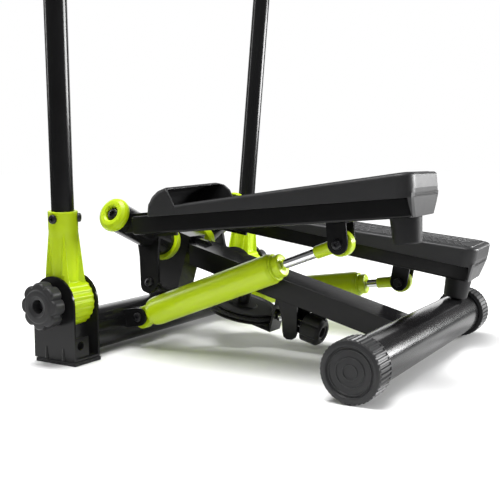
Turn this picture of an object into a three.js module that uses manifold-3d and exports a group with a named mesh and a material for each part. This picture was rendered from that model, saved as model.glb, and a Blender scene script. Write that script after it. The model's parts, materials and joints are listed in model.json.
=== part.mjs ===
// Twin-pedal stepper with two swinging hand posts. Millimetres, +Z up, +Y forward, +X to the user's right.
// Lengths along Y are first written from the axis of the rear crossbar; the whole part is moved at the
// end so that the origin is the middle of its footprint on the floor.
// The left pedal stands at the top of its stroke and the right pedal at the bottom.
import * as THREE from 'three';
import { mergeVertices } from 'three/addons/utils/BufferGeometryUtils.js';
import Module from 'manifold-3d';

const wasm = await Module();
wasm.setup();

// ---------------------------------------------------------------- driving dimensions
const DEG = Math.PI / 180;
const GAP = 0.3;                  // between touching pieces
const ORIGIN_Y = 199;           // middle of the footprint, from the rear crossbar axis

const REAR_BAR_Z = 36, REAR_BAR_R = 30, REAR_BAR_HALF = 214;
const CAP_R = 36, CAP_LONG = 34, CAP_OUT = 221.5, CAP_RIDGES = 32;
const FRONT_BAR_Y = 417, FRONT_BAR_Z = 32, FRONT_BAR_R = 29.5;
const WALL = 2.5;

const BEAM_SLOPE = 15, BEAM_WIDE = 60, BEAM_HIGH = 30;
const BEAM_TOP_Z = 50.6;          // height of the beam's top face over the rear crossbar axis
const COLUMN_LEAN = 16.9, COLUMN_WIDE = 40, COLUMN_DEEP = 50, COLUMN_TOP = 160;

const PLATE_IN = 198.6, PLATE_OUT = 245.6, PLATE_T = 3, PLATE_HALF = 36.4;
const HUB_Y = 410, HUB_Z = 79.3, HUB_R = 33.5, HUB_RIDGES = 24;
const PAD_T = 5;
const POST_OUT = 3.7, POST_BACK = 3.2;       // lean of the hand posts, degrees
const POST_R = 14.6, POST_START = 52, POST_END = 1090, COLLAR_AT = 122, COLLAR_R = 19.3;
const GRIP_R = 17.5, GRIP_FROM = 950, GRIP_TO = 1100;

const PIVOT = new THREE.Vector3(41, 379, 142.5);   // inner end of the right pedal's canted pivot
const CANT = 23.1;                               // its outer end is higher, degrees
const SLEEVE_R = 21, SLEEVE_BORE = 18, SLEEVE_FROM = 10, SLEEVE_TO = 122;
const BUSH_R = 23.4, INNER_BUSH_R = 26.5, BUSH_LONG = 12, AXLE_R = 8;
const SWING = 15.69;                             // stroke of a pedal about its pivot, degrees

const PEDAL_X = 145.35, PEDAL_PITCH = 9.49, PEDAL_YAW = 3.96;   // pose of the right pedal at the bottom
const ARM_HALF = 42, ARM_LOW = 98, ARM_HIGH = 25, ARM_FRONT = 373, ARM_HEEL = -14.5;
const DECK_HALF = 60, DECK_HEEL = -21.5, DECK_TOE = 334, SKIRT_LOW = 121.2;
const HEEL_SEAM = 131, HEEL_DRAW = 0.15, HEEL_TOP = 148.8, TOE_TOP = 131.4, SKIN = 3.5;
const EYE = new THREE.Vector3(0, 88.5, 70.6);    // cylinder bolt under the arm, in pedal coordinates
const BASE_EYE = new THREE.Vector3(114, 366, 46);
const BODY_R = 20, BODY_FROM = 16, BODY_TO = 227, GLAND_TO = 240, ROD_R = 6.2;
const LEVER_AT = 42, LEVER_LONG = 76;

const PULLEY = new THREE.Vector3(0, 271, 49.5);
const PULLEY_R = 52, SCREW_UP = 10;

// ---------------------------------------------------------------- solid helpers
const v2 = (x, y) => new THREE.Vector2(x, y);
const v3 = (x, y, z) => new THREE.Vector3(x, y, z);

function toSolid(geometry) {
  if (geometry.userData.closed) {
    return new wasm.Manifold(new wasm.Mesh({
      numProp: 3,
      vertProperties: new Float32Array(geometry.attributes.position.array),
      triVerts: new Uint32Array(geometry.index.array),
    }));
  }
  const bare = geometry.clone();
  for (const name of Object.keys(bare.attributes)) if (name !== 'position') bare.deleteAttribute(name);
  const merged = mergeVertices(bare, 1e-4);
  const old = merged.index.array, kept = [];
  for (let i = 0; i < old.length; i += 3) {
    const [a, b, c] = [old[i], old[i + 1], old[i + 2]];
    if (a !== b && b !== c && a !== c) kept.push(a, b, c);
  }
  return new wasm.Manifold(new wasm.Mesh({
    numProp: 3,
    vertProperties: new Float32Array(merged.attributes.position.array),
    triVerts: new Uint32Array(kept),
  }));
}

function toGeometry(solid) {
  const mesh = solid.getMesh();
  const geometry = new THREE.BufferGeometry();
  geometry.setAttribute('position', new THREE.BufferAttribute(new Float32Array(mesh.vertProperties), 3));
  geometry.setIndex(new THREE.BufferAttribute(new Uint32Array(mesh.triVerts), 1));
  geometry.computeVertexNormals();
  geometry.userData.closed = true;
  return geometry;
}

const combine = (how) => (first, ...rest) =>
  toGeometry(rest.reduce((sum, next) => sum[how](toSolid(next)), toSolid(first)));
const join = combine('add');
const cut = combine('subtract');
const common = combine('intersect');

function flipped(geometry) {
  const g = geometry.clone();
  const index = g.index.array;
  for (let i = 0; i < index.length; i += 3) [index[i], index[i + 1]] = [index[i + 1], index[i]];
  return g;
}
const mirroredX = (geometry) => flipped(toGeometry(toSolid(geometry)).scale(-1, 1, 1));

const box = (sx, sy, sz, x, y, z) => new THREE.BoxGeometry(sx, sy, sz).translate(x, y, z);

// Turned shape: a closed list of [radius, height] pairs spun about Z.
function turned(profile, segments) {
  const points = profile.map(([r, z]) => v2(Math.max(r, 0), z));
  if (profile[0][0] > 0) points.push(points[0].clone());
  const area = points.reduce((sum, p, i) => {
    const q = points[(i + 1) % points.length];
    return sum + p.x * q.y - q.x * p.y;
  }, 0);
  if (area < 0) points.reverse();
  return new THREE.LatheGeometry(points, segments).rotateX(Math.PI / 2);
}

// Straight prism along +Z from an outline and any holes, all lists of Vector2.
function prism(outline, depth, holes = []) {
  const shape = new THREE.Shape(outline);
  shape.holes = holes.map((hole) => new THREE.Path(hole));
  return new THREE.ExtrudeGeometry(shape, { depth, bevelEnabled: false });
}

const circle = (r, n, x = 0, y = 0, start = 0) =>
  Array.from({ length: n }, (_, i) => {
    const t = start + (i * 2 * Math.PI) / n;
    return v2(x + r * Math.cos(t), y + r * Math.sin(t));
  });

// Rectangle rounded more at its low-Y end (r0) than at its high-Y end (r1).
function roundedRect(halfX, y0, y1, r0, r1, n = 3) {
  const corners = [[halfX - r1, y1 - r1, 0, r1], [-halfX + r1, y1 - r1, 90, r1], [-halfX + r0, y0 + r0, 180, r0],
    [halfX - r0, y0 + r0, 270, r0]];
  return corners.flatMap(([x, y, a, r]) => Array.from({ length: n + 1 }, (_, i) => {
    const t = (a + (i * 90) / n) * DEG;
    return v2(x + r * Math.cos(t), y + r * Math.sin(t));
  }));
}

// Skin over a stack of rings with equal point counts, closed by a fan at each end.
function loft(rings) {
  const n = rings[0].length, position = [], index = [];
  rings.forEach((ring) => ring.forEach((p) => position.push(p.x, p.y, p.z)));
  for (let k = 0; k + 1 < rings.length; k++) {
    for (let i = 0; i < n; i++) {
      const a = k * n + i, b = k * n + ((i + 1) % n), c = a + n, d = b + n;
      index.push(a, b, d, a, d, c);
    }
  }
  const last = (rings.length - 1) * n;
  for (let i = 1; i + 1 < n; i++) {
    index.push(0, i + 1, i);
    index.push(last, last + i, last + i + 1);
  }
  const corner = (i) => v3(...position.slice(3 * index[i], 3 * index[i] + 3));
  let volume = 0;
  for (let i = 0; i < index.length; i += 3) volume += corner(i).dot(corner(i + 1).cross(corner(i + 2)));
  if (volume < 0) for (let i = 0; i < index.length; i += 3) [index[i], index[i + 1]] = [index[i + 1], index[i]];
  const g = new THREE.BufferGeometry();
  g.setAttribute('position', new THREE.Float32BufferAttribute(position, 3));
  g.setIndex(index);
  return g;
}

// Frame whose Z axis runs along a direction; its X axis lies as near as it can to a hint.
function frameAlong(origin, along, hint = v3(1, 0, 0)) {
  const z = along.clone().normalize();
  if (Math.abs(z.dot(hint)) > 0.99) hint = v3(hint.y, hint.z, hint.x);
  const x = hint.clone().addScaledVector(z, -hint.dot(z)).normalize();
  const y = z.clone().cross(x);
  return new THREE.Matrix4().makeBasis(x, y, z).setPosition(origin);
}

function bar(from, to, r, segments = 24) {
  const long = to.clone().sub(from).length();
  const g = turned([[0, 0], [r, 0], [r, long], [0, long]], segments);
  return g.applyMatrix4(frameAlong(from, to.clone().sub(from), v3(0, 0, 1)));
}

function pipe(from, to, outer, inner, segments = 24) {
  const long = to.clone().sub(from).length();
  const g = turned([[inner, 0], [outer, 0], [outer, long], [inner, long]], segments);
  return g.applyMatrix4(frameAlong(from, to.clone().sub(from), v3(0, 0, 1)));
}

// Bolt: head at the start, shank running towards +Z, with an optional nut at the far end.
function bolt(r, long, headR, headLong, nutFrom = 0) {
  const plain = turned([[0, -headLong], [headR * 0.8, -headLong], [headR, -headLong * 0.6], [headR, 0], [r, 0],
    [r, long], [0, long]], 14);
  return nutFrom ? join(plain, prism(circle(r * 1.75, 6), r * 1.4).translate(0, 0, nutFrom)) : plain;
}

// ---------------------------------------------------------------- materials
const paint = (color, roughness, metalness = 0) => new THREE.MeshStandardMaterial({ color, roughness, metalness });
const STYLE = {
  black_steel: () => paint(0x141416, 0.25),
  black_plastic: () => paint(0x2b2b2d, 0.6),
  lime_plastic: () => paint(0xb6dc1e, 0.4),
  lime_paint: () => paint(0xb9e020, 0.25),
  chrome: () => paint(0xd8d8dc, 0.12, 1),
  rubber: () => paint(0x1d1d1f, 0.8),
  black_bolt: () => paint(0x111113, 0.35, 0.6),
  rope: () => paint(0x1a1a1b, 0.9),
  foam: () => paint(0x202022, 0.95),
};

const model = new THREE.Group();
model.name = 'stepper';
function add(name, geometry, style) {
  const clean = toGeometry(toSolid(geometry));
  clean.translate(0, -ORIGIN_Y, 0);
  const mesh = new THREE.Mesh(clean, STYLE[style]());
  mesh.name = name;
  model.add(mesh);
}

// ---------------------------------------------------------------- base frame
const slope = Math.tan(BEAM_SLOPE * DEG);
const beamTop = (y) => BEAM_TOP_Z + slope * y;
const rearBar = (r) => bar(v3(-260, 0, REAR_BAR_Z), v3(260, 0, REAR_BAR_Z), r, 32);
const frontBar = (r) => bar(v3(-260, FRONT_BAR_Y, FRONT_BAR_Z), v3(260, FRONT_BAR_Y, FRONT_BAR_Z), r, 32);

add('rear_crossbar', pipe(v3(-REAR_BAR_HALF, 0, REAR_BAR_Z), v3(REAR_BAR_HALF, 0, REAR_BAR_Z), REAR_BAR_R,
  REAR_BAR_R - WALL, 32), 'black_steel');
const FRONT_BAR_HALF = PLATE_IN - GAP;

// Ears welded to the front crossbar hold the base eye of each hydraulic cylinder.
function baseEars() {
  const ear = prism([...circle(13, 16).slice(8), v2(13, 0), v2(13, 26), v2(-13, 26), v2(-13, 0)], 3.5)
    .rotateX(Math.PI / 2).rotateZ(Math.PI / 2).rotateX(-100 * DEG);
  const web = box(24.4, 20, 4, 0, 0, 21).rotateX(-100 * DEG);
  return cut(join(ear.clone().translate(8.7, 0, 0), ear.clone().translate(-12.2, 0, 0), web),
    bar(v3(-30, 0, 0), v3(30, 0, 0), 4.1, 20)).translate(BASE_EYE.x, BASE_EYE.y, BASE_EYE.z);
}
const ears = baseEars();
const frontTube = pipe(v3(-FRONT_BAR_HALF, FRONT_BAR_Y, FRONT_BAR_Z),
  v3(FRONT_BAR_HALF, FRONT_BAR_Y, FRONT_BAR_Z), FRONT_BAR_R, FRONT_BAR_R - WALL, 32);
const frontBore = frontBar(FRONT_BAR_R - WALL);
add('front_crossbar', join(frontTube, cut(ears, frontBore), cut(mirroredX(ears), frontBore)), 'black_steel');

// Column: leaning box tube from the front crossbar up between the two pedal pivots.
const columnFoot = v3(0, FRONT_BAR_Y - 4, FRONT_BAR_Z);
const columnFrame = new THREE.Matrix4().makeRotationX(COLUMN_LEAN * DEG).setPosition(columnFoot);
const columnLong = (COLUMN_TOP - FRONT_BAR_Z) / Math.cos(COLUMN_LEAN * DEG);
const columnEnvelope = (grow) => box(COLUMN_WIDE + 2 * grow, COLUMN_DEEP + 2 * grow, columnLong + 2 * grow, 0, 0,
  columnLong / 2).applyMatrix4(columnFrame);
const columnCore = box(COLUMN_WIDE - 2 * WALL, COLUMN_DEEP - 2 * WALL, columnLong, 0, 0, columnLong / 2 - WALL)
  .applyMatrix4(columnFrame);
const gussetOutline = [v2(326, beamTop(326) + GAP), v2(345, beamTop(345) + GAP), v2(360, beamTop(345) + GAP),
  v2(360, beamTop(345) + 9), v2(330, beamTop(330) + 6)];
const gusset = prism(gussetOutline, 8).rotateZ(Math.PI / 2).rotateY(Math.PI / 2).translate(-4, 0, 0);
const axisOut = v3(Math.cos(CANT * DEG), 0, Math.sin(CANT * DEG));
const pivotPoint = (s) => PIVOT.clone().addScaledVector(axisOut, s);
const axleHole = bar(pivotPoint(-60), pivotPoint(40), AXLE_R + GAP, 24);
const column = cut(join(cut(columnEnvelope(0), columnCore), cut(gusset, columnEnvelope(-1))),
  frontBar(FRONT_BAR_R + GAP), axleHole, mirroredX(axleHole));
add('centre_column', column, 'black_steel');

// Main beam: box tube rising from the rear crossbar to the column.
const beamLong = 400;
const beamFrame = new THREE.Matrix4().makeRotationX(BEAM_SLOPE * DEG)
  .setPosition(0, 0, BEAM_TOP_Z - (BEAM_HIGH / 2) / Math.cos(BEAM_SLOPE * DEG));
const beamShape = (grow, long) => box(BEAM_WIDE - 2 * grow, long, BEAM_HIGH - 2 * grow, 0, long / 2, 0)
  .applyMatrix4(beamFrame);
const beamEnd = box(200, 200, 200, 0, 345 + 100, 130);
add('main_beam', cut(beamShape(0, beamLong), beamShape(WALL, beamLong), rearBar(REAR_BAR_R + GAP), beamEnd,
  columnEnvelope(GAP)), 'black_steel');

// End caps of the rear crossbar: ridged rim, ringed face, plug inside the tube.
function rearCap() {
  const rim = Array.from({ length: CAP_RIDGES * 2 }, (_, i) => {
    const t = (i * 2 * Math.PI) / (CAP_RIDGES * 2) + Math.PI;
    const r = i % 2 ? CAP_R - 1.3 : CAP_R;
    return v2(r * Math.cos(t), r * Math.sin(t));
  });
  const band = prism(rim, CAP_LONG - 3);
  const face = turned([[0, CAP_LONG - 4], [CAP_R - 1.4, CAP_LONG - 4], [CAP_R - 1.4, CAP_LONG - 3],
    [CAP_R - 4, CAP_LONG - 0.6], [27, CAP_LONG], [25.5, CAP_LONG - 1.2], [0, CAP_LONG - 1.2]], 28);
  const socket = turned([[0, -1], [REAR_BAR_R + GAP, -1], [REAR_BAR_R + GAP, 26.8], [0, 26.8]], 28);
  const plug = turned([[19, 4], [REAR_BAR_R - WALL - GAP, 4], [REAR_BAR_R - WALL - GAP, 27.5], [19, 27.5]], 20);
  return join(cut(join(band, face), socket), plug)
    .applyMatrix4(frameAlong(v3(CAP_OUT - CAP_LONG, 0, REAR_BAR_Z), v3(1, 0, 0), v3(0, 0, 1)));
}
const cap = rearCap();
add('right_end_cap', cap, 'black_plastic');
add('left_end_cap', mirroredX(cap), 'black_plastic');

// Tongue under the beam that carries the rope adjuster.
const SCREW_DIR = v3(0, Math.cos(BEAM_SLOPE * DEG), Math.sin(BEAM_SLOPE * DEG));
const SCREW_ORIGIN = PULLEY.clone().addScaledVector(v3(0, -SCREW_DIR.z, SCREW_DIR.y), SCREW_UP);
const screwPoint = (y) => SCREW_ORIGIN.clone().addScaledVector(SCREW_DIR, (y - SCREW_ORIGIN.y) / SCREW_DIR.y);
const beamLow = (y) => beamTop(y) - BEAM_HIGH / Math.cos(BEAM_SLOPE * DEG) - GAP;
const tongueSide = [v2(168, beamLow(168)), v2(168, 24), v2(171, 17), v2(176, 14), v2(184, 14), v2(189, 17),
  v2(191, 24), v2(192, 44), v2(200, beamLow(200))];
const sidePlate = (outline, x0, thick) => prism(outline, thick).rotateZ(Math.PI / 2).rotateY(Math.PI / 2)
  .translate(x0, 0, 0);
const tongueWeb = box(40, 3.5, 46, 0, 182, 43);
const tongueTop = cut(box(40, 32, 30, 0, 184, 78), box(60, 80, 60, 0, 0, 30).applyMatrix4(
  new THREE.Matrix4().makeRotationX(BEAM_SLOPE * DEG).setPosition(0, 184, beamLow(184))),
  box(60, 80, 60, 0, 0, -33.2).applyMatrix4(
    new THREE.Matrix4().makeRotationX(BEAM_SLOPE * DEG).setPosition(0, 184, beamLow(184))));
const screwHole = bar(screwPoint(120), screwPoint(230), 5.2, 20);
const tongue = cut(join(sidePlate(tongueSide, -22, 3.5), sidePlate(tongueSide, 18.5, 3.5), tongueWeb, tongueTop),
  screwHole);
add('adjuster_tongue', tongue, 'black_steel');

// Rope pulley, lying flat under the beam, in a C-shaped carriage that the screw draws back.
const pulleyFrame = new THREE.Matrix4().makeRotationX(BEAM_SLOPE * DEG).setPosition(PULLEY);
const carriage = cut(join(box(30, 76, 3, 0, -23.5, 36.5), box(30, 3, 52.5, 0, -60, 11.8),
  box(30, 76, 3, 0, -23.5, -13)), turned([[0, -30], [5.2, -30], [5.2, 50], [0, 50]], 16),
  bar(v3(0, -90, SCREW_UP), v3(0, -50, SCREW_UP), 5.2, 16)).applyMatrix4(pulleyFrame);
add('pulley_carriage', carriage, 'black_steel');
const pulleyBolt = join(bolt(4.8, 52.6, 8, 5).translate(0, 0, -14.9),
  turned([[4, 8.2], [9, 8.2], [9, 34.7], [4, 34.7]], 16)).applyMatrix4(pulleyFrame);
add('pulley_axle_bolt', pulleyBolt, 'black_bolt');
add('rope_pulley', turned([[5, -7.5], [PULLEY_R, -7.5], [PULLEY_R, -5.5], [PULLEY_R - 5, -3.2],
  [PULLEY_R - 5, 3.2], [PULLEY_R, 5.5], [PULLEY_R, 7.5], [5, 7.5]], 32).applyMatrix4(pulleyFrame), 'black_plastic');

// Adjuster screw and its knob behind the tongue.
add('adjuster_screw', join(bar(screwPoint(145), screwPoint(214.6), 4.9, 16),
  prism(circle(8, 6), 5).applyMatrix4(frameAlong(screwPoint(203.4), SCREW_DIR))), 'chrome');
function adjusterKnob() {
  const lobes = Array.from({ length: 24 }, (_, i) => {
    const t = (i * 2 * Math.PI) / 24;
    const r = 19.6 + 1.2 * Math.cos(6 * t);
    return v2(r * Math.cos(t), r * Math.sin(t));
  });
  const body = join(prism(lobes, 27), turned([[0, 26], [18, 26], [16.5, 29.5], [0, 29.5]], 20));
  const hollow = turned([[0, -1], [5.1, -1], [5.1, 25], [7, 25], [7, 31], [0, 31]], 16);
  return cut(body, hollow).applyMatrix4(frameAlong(screwPoint(165.4), SCREW_DIR.clone().negate()));
}
add('adjuster_knob', adjusterKnob(), 'black_plastic');

// ---------------------------------------------------------------- brackets, posts and knobs, both sides
const hub = v3((PLATE_IN + PLATE_OUT) / 2, HUB_Y, HUB_Z);
const postDir = v3(Math.sin(POST_OUT * DEG), -Math.sin(POST_BACK * DEG), 1).normalize();
const postFrame = frameAlong(hub, postDir);

function bracketPlate(x0) {
  const outline = [v2(HUB_Y - PLATE_HALF, PAD_T), v2(HUB_Y + PLATE_HALF, PAD_T)];
  for (let i = 0; i <= 12; i++) {
    const t = (i * Math.PI) / 12;
    outline.push(v2(HUB_Y + PLATE_HALF * Math.cos(t), HUB_Z + PLATE_HALF * Math.sin(t)));
  }
  return sidePlate(outline, x0, PLATE_T);
}
function bracket() {
  const floor = box(PLATE_OUT - PLATE_IN, 2 * PLATE_HALF, PLATE_T, hub.x, HUB_Y, PAD_T + PLATE_T / 2);
  const tab = cut(box(28, 3, 29, PLATE_OUT - PLATE_T - 13, HUB_Y - PLATE_HALF + 5, PAD_T + 15.5),
    bar(v3(hub.x + 9, 350, 24), v3(hub.x + 9, 400, 24), 5.8, 20));
  const stiffener = (y) => turned([[0, 0], [3.4, 0], [2, 16], [0, 16]], 12)
    .translate(PLATE_OUT - 1, y, PAD_T + 0.2);
  return cut(join(bracketPlate(PLATE_IN), bracketPlate(PLATE_OUT - PLATE_T), floor, tab, stiffener(424),
    stiffener(394)), bar(v3(150, HUB_Y, HUB_Z), v3(300, HUB_Y, HUB_Z), 5.1, 20));
}

// Socket: ridged hub barrel, stem with four wedge-shaped fins, and the collar that holds the post.
const SOCKET_HALF = 20.2, FIN_REACH = 25, FIN_TOP = 98;
function socket() {
  const rim = Array.from({ length: HUB_RIDGES * 2 }, (_, i) => {
    const t = (i * 2 * Math.PI) / (HUB_RIDGES * 2);
    const r = i % 2 ? HUB_R - 1.2 : HUB_R;
    return v2(r * Math.cos(t), r * Math.sin(t));
  });
  const barrel = prism(rim, 2 * SOCKET_HALF).rotateZ(Math.PI / 2).rotateY(Math.PI / 2)
    .translate(hub.x - SOCKET_HALF, HUB_Y, HUB_Z);
  const stem = turned([[0, 0], [17.6, 0], [18.4, 88], [COLLAR_R, 98], [COLLAR_R, COLLAR_AT], [0, COLLAR_AT]], 18)
    .applyMatrix4(postFrame);
  const finRing = (reach, half, z) => [v3(8, -half, z), v3(reach, -half, z), v3(reach, half, z), v3(8, half, z)];
  const fins = [45, 135, 225, 315].map((bearing) => loft([finRing(FIN_REACH + 1, 5.2, 22),
    finRing(FIN_REACH, 4.4, 36), finRing(COLLAR_R - 0.8, 0.6, FIN_TOP)]).rotateZ(bearing * DEG)
    .applyMatrix4(postFrame));
  const bore = turned([[0, POST_START], [POST_R + 0.05, POST_START], [POST_R + 0.05, 200], [0, 200]], 20)
    .applyMatrix4(postFrame);
  const besidePlate = (x) => box(40, 160, 160, x, HUB_Y, HUB_Z + PLATE_HALF + 1.2 - 80);
  return cut(join(barrel, stem, ...fins), bore, besidePlate(hub.x - SOCKET_HALF - 20),
    besidePlate(hub.x + SOCKET_HALF + 20), bar(v3(150, HUB_Y, HUB_Z), v3(300, HUB_Y, HUB_Z), 5.2, 16));
}
const screwBearings = [-5, -125];   // where the two collar screws sit round the post, in post coordinates
function collarScrew(bearing) {
  return bolt(3, 8.5, 6, 4).applyMatrix4(new THREE.Matrix4().makeRotationZ(bearing * DEG)
    .multiply(frameAlong(v3(COLLAR_R + 0.1, 0, COLLAR_AT - 9), v3(-1, 0, 0), v3(0, 0, 1))));
}
const screwSpace = (bearing) => bar(v3(8, 0, COLLAR_AT - 9), v3(30, 0, COLLAR_AT - 9), 3.1, 16)
  .rotateZ(bearing * DEG);
function clampKnob() {
  const lobes = Array.from({ length: 48 }, (_, i) => {
    const t = (i * 2 * Math.PI) / 48;
    const r = 31 - 4.6 * (1 - Math.abs(Math.cos(4 * t))) ** 1.6;
    return v2(r * Math.cos(t), r * Math.sin(t));
  });
  const body = join(prism(lobes, 20).translate(0, 0, 6), turned([[0, 0], [14, 0], [16, 7], [0, 7]], 20),
    turned([[0, 25], [22, 25], [19, 28], [0, 28]], 24));
  const hollow = turned([[0, -1], [5.2, -1], [5.2, 21], [9, 21], [9, 30], [0, 30]], 16);
  return cut(body, hollow).applyMatrix4(frameAlong(v3(PLATE_OUT + 1, HUB_Y, HUB_Z), v3(1, 0, 0), v3(0, 0, 1)));
}

// ---------------------------------------------------------------- pedals, both sides
const lowPose = new THREE.Matrix4().makeRotationZ(PEDAL_YAW * DEG)
  .multiply(new THREE.Matrix4().makeRotationX(PEDAL_PITCH * DEG)).setPosition(PEDAL_X, 0, 0);
const pivotFrame = frameAlong(PIVOT, axisOut, v3(0, 0, -1));   // x of this frame points down
const raise = (lift) => new THREE.Matrix4().makeTranslation(PIVOT.x, PIVOT.y, PIVOT.z)
  .multiply(new THREE.Matrix4().makeRotationAxis(axisOut, -lift * DEG))
  .multiply(new THREE.Matrix4().makeTranslation(-PIVOT.x, -PIVOT.y, -PIVOT.z));
const toPedal = lowPose.clone().invert();

function arm() {
  const y0 = ARM_HEEL;
  const tube = box(2 * ARM_HALF, ARM_FRONT - y0, ARM_HIGH, 0, (ARM_FRONT + y0) / 2, ARM_LOW + ARM_HIGH / 2);
  const inside = box(2 * ARM_HALF - 2 * WALL, ARM_FRONT - y0 - 2 * WALL, ARM_HIGH - 2 * WALL, 0,
    (ARM_FRONT + y0) / 2, ARM_LOW + ARM_HIGH / 2);
  const drain = box(12, 12, 8, 0, 300, ARM_LOW);
  const saddle = (x, drop, lift) => box(5, 60, ARM_HIGH + drop + lift, x, ARM_FRONT + 2,
    ARM_LOW + ARM_HIGH / 2 + (lift - drop) / 2);
  const space = bar(pivotPoint(-80), pivotPoint(200), SLEEVE_R + GAP, 24).applyMatrix4(toPedal);
  const bushSpace = bar(pivotPoint(SLEEVE_TO - 1), pivotPoint(200), BUSH_R + 1, 24).applyMatrix4(toPedal);
  return cut(join(cut(tube, inside, drain), saddle(-25, 7, -3), saddle(0, 2, -3), saddle(25, -3, 4)), space,
    bushSpace);
}

// Tread ribs: chevrons at the heel, straight bars further forward.
const topAt = (y) => HEEL_TOP + ((TOE_TOP - HEEL_TOP) * (y - DECK_HEEL)) / (DECK_TOE - DECK_HEEL);
function deckFrame(y) {
  const tilt = Math.atan((TOE_TOP - HEEL_TOP) / (DECK_TOE - DECK_HEEL));
  return new THREE.Matrix4().makeRotationX(tilt).setPosition(0, y, topAt(y));
}
function tread() {
  const ribs = [];
  for (let i = 0; i < 4; i++) {
    const y = i * 32;
    const chevron = [v2(-44, y), v2(0, y + 17), v2(44, y), v2(44, y + 9), v2(0, y + 26), v2(-44, y + 9)];
    ribs.push(prism(chevron, 2.4));
  }
  for (let i = 0; i < 4; i++) ribs.push(box(88, 9, 2.4, 0, 160 + i * 32, 1.2));
  return ribs.map((rib) => rib.translate(0, 0, -1.2).applyMatrix4(deckFrame(0)));
}

function footplate() {
  const outline = roundedRect(DECK_HALF, DECK_HEEL, DECK_TOE, 18, 6);
  const inner = roundedRect(DECK_HALF - SKIN, DECK_HEEL + SKIN, DECK_TOE - SKIN, 14.5, 3);
  const ring = (points, z) => points.map((p) => v3(p.x, p.y, z(p.y)));
  const low = () => SKIRT_LOW;
  const body = loft([ring(outline, low), ring(outline, (y) => topAt(y))]);
  const hollow = loft([ring(inner, () => SKIRT_LOW - 2), ring(inner, (y) => topAt(y) - SKIN)]);
  // ribs under the deck that stand on the arm
  const ribTop = 160;
  const long = [-38, 38].map((x) => box(2.5, DECK_TOE - DECK_HEEL - 6, ribTop, x, (DECK_TOE + DECK_HEEL) / 2,
    ARM_LOW + ARM_HIGH + GAP + ribTop / 2));
  const cross = [90, 230].map((y) => box(2 * DECK_HALF - 6, 2.5, ribTop, 0, y,
    ARM_LOW + ARM_HIGH + GAP + ribTop / 2));
  const ribs = common(join(...long, ...cross), body);
  // band that closes the heel behind the arm, narrower towards the floor
  const heelEnd = ARM_HEEL - GAP;
  const heelAt = (z) => DECK_HEEL + HEEL_DRAW * (HEEL_SEAM - z);
  const heelRing = (half, z) => [v3(-half, heelEnd, z), v3(-half + 0.5, heelAt(z) + 1.2, z),
    v3(-half + 8, heelAt(z), z), v3(half - 8, heelAt(z), z), v3(half - 0.5, heelAt(z) + 1.2, z),
    v3(half, heelEnd, z)];
  const heel = loft([heelRing(42, ARM_LOW + 0.5), heelRing(50, 111), heelRing(55, SKIRT_LOW + 0.2),
    heelRing(55, SKIRT_LOW + 6)]);
  const heelDraw = loft([-80, 80].map((x) => [v3(x, DECK_HEEL - 5, HEEL_SEAM + 5 / HEEL_DRAW),
    v3(x, DECK_HEEL - 5, 90), v3(x, heelAt(90), 90)]));
  // toe hood: a curved shell open towards the heel, its inner wing longer than its outer one
  const front = [[DECK_TOE, SKIRT_LOW], [DECK_TOE, 126], [331.5, 138], [325, 148], [315, 155], [303, 158.3],
    [292, 159.2], [270, 160.5]];
  const shell = (inset) => {
    const at = ([y, z]) => [Math.min(y, DECK_TOE) - inset, z - (z > 126 ? inset : 0)];
    const rim = (x) => front.map(at).map(([y, z]) => v3(x, y, z + (x < 0 && z > 150 ? 3 : 0) - (x < 0 ? 0 : 1.5)))
      .concat([v3(x, 250, 163.5 - inset), v3(x, 250, SKIRT_LOW)]);
    return loft([rim(DECK_HALF - inset), rim(-DECK_HALF + inset)]);
  };
  const roundedCorners = prism(outline, 200);
  const mouth = (x, edge) => [[200, 118], ...edge, [200, edge[edge.length - 1][1]]].map(([y, z]) => v3(x, y, z));
  const opening = loft([mouth(DECK_HALF + 5, [[291, 118], [291, 134], [296, 146], [299, 152], [307, 165]]),
    mouth(-DECK_HALF - 5, [[268, 118], [269, 137], [274, 149.5], [283.5, 157.5], [299, 165]])]);
  const cup = cut(common(shell(0), roundedCorners), shell(3), opening);
  const armNotch = box(2 * ARM_HALF + 2, 30, 10, 0, DECK_TOE, ARM_LOW + ARM_HIGH + GAP - 5);
  return cut(join(cut(body, hollow), ribs, heel, cup, ...tread()), armNotch, heelDraw);
}

function rodClevis() {
  const ear = prism([...circle(13, 16).slice(8), v2(13, 0), v2(13, 28.2), v2(-13, 28.2), v2(-13, 0)].map(
    (p) => v2(p.x, p.y)), 3.5).rotateX(Math.PI / 2).rotateZ(Math.PI / 2);
  const top = box(29, 26, 3.5, 0, 0, 26.45);
  const pair = join(ear.clone().translate(11, 0, 0), ear.clone().translate(-14.5, 0, 0), top);
  return cut(pair, bar(v3(-30, 0, 0), v3(30, 0, 0), 4.1, 20)).translate(EYE.x, EYE.y, EYE.z);
}
const clevisBolt = () => bolt(4, 33, 6.5, 4, 30).applyMatrix4(frameAlong(v3(14.6, 0, 0), v3(-1, 0, 0)))
  .translate(EYE.x, EYE.y, EYE.z);

function lever() {
  const plate = prism([...circle(15, 16).slice(8), v2(15, 0), v2(16, 45), v2(19, LEVER_LONG - 8),
    v2(19, LEVER_LONG + 6), v2(-19, LEVER_LONG + 6), v2(-19, LEVER_LONG - 8), v2(-16, 45), v2(-15, 0)], 5);
  const plateInPivot = plate.rotateZ(Math.PI / 2).translate(LEVER_LONG, 0, LEVER_AT);
  return cut(plateInPivot, turned([[0, 0], [SLEEVE_BORE + 1, 0], [SLEEVE_BORE + 1, 200], [0, 200]], 28),
    turned([[0, 0], [4.1, 0], [4.1, 200], [0, 200]], 16).translate(LEVER_LONG, 0, 0));
}
const leverTurn = new THREE.Matrix4();
leverTurn.makeRotationZ(-2.2 * DEG);

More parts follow.
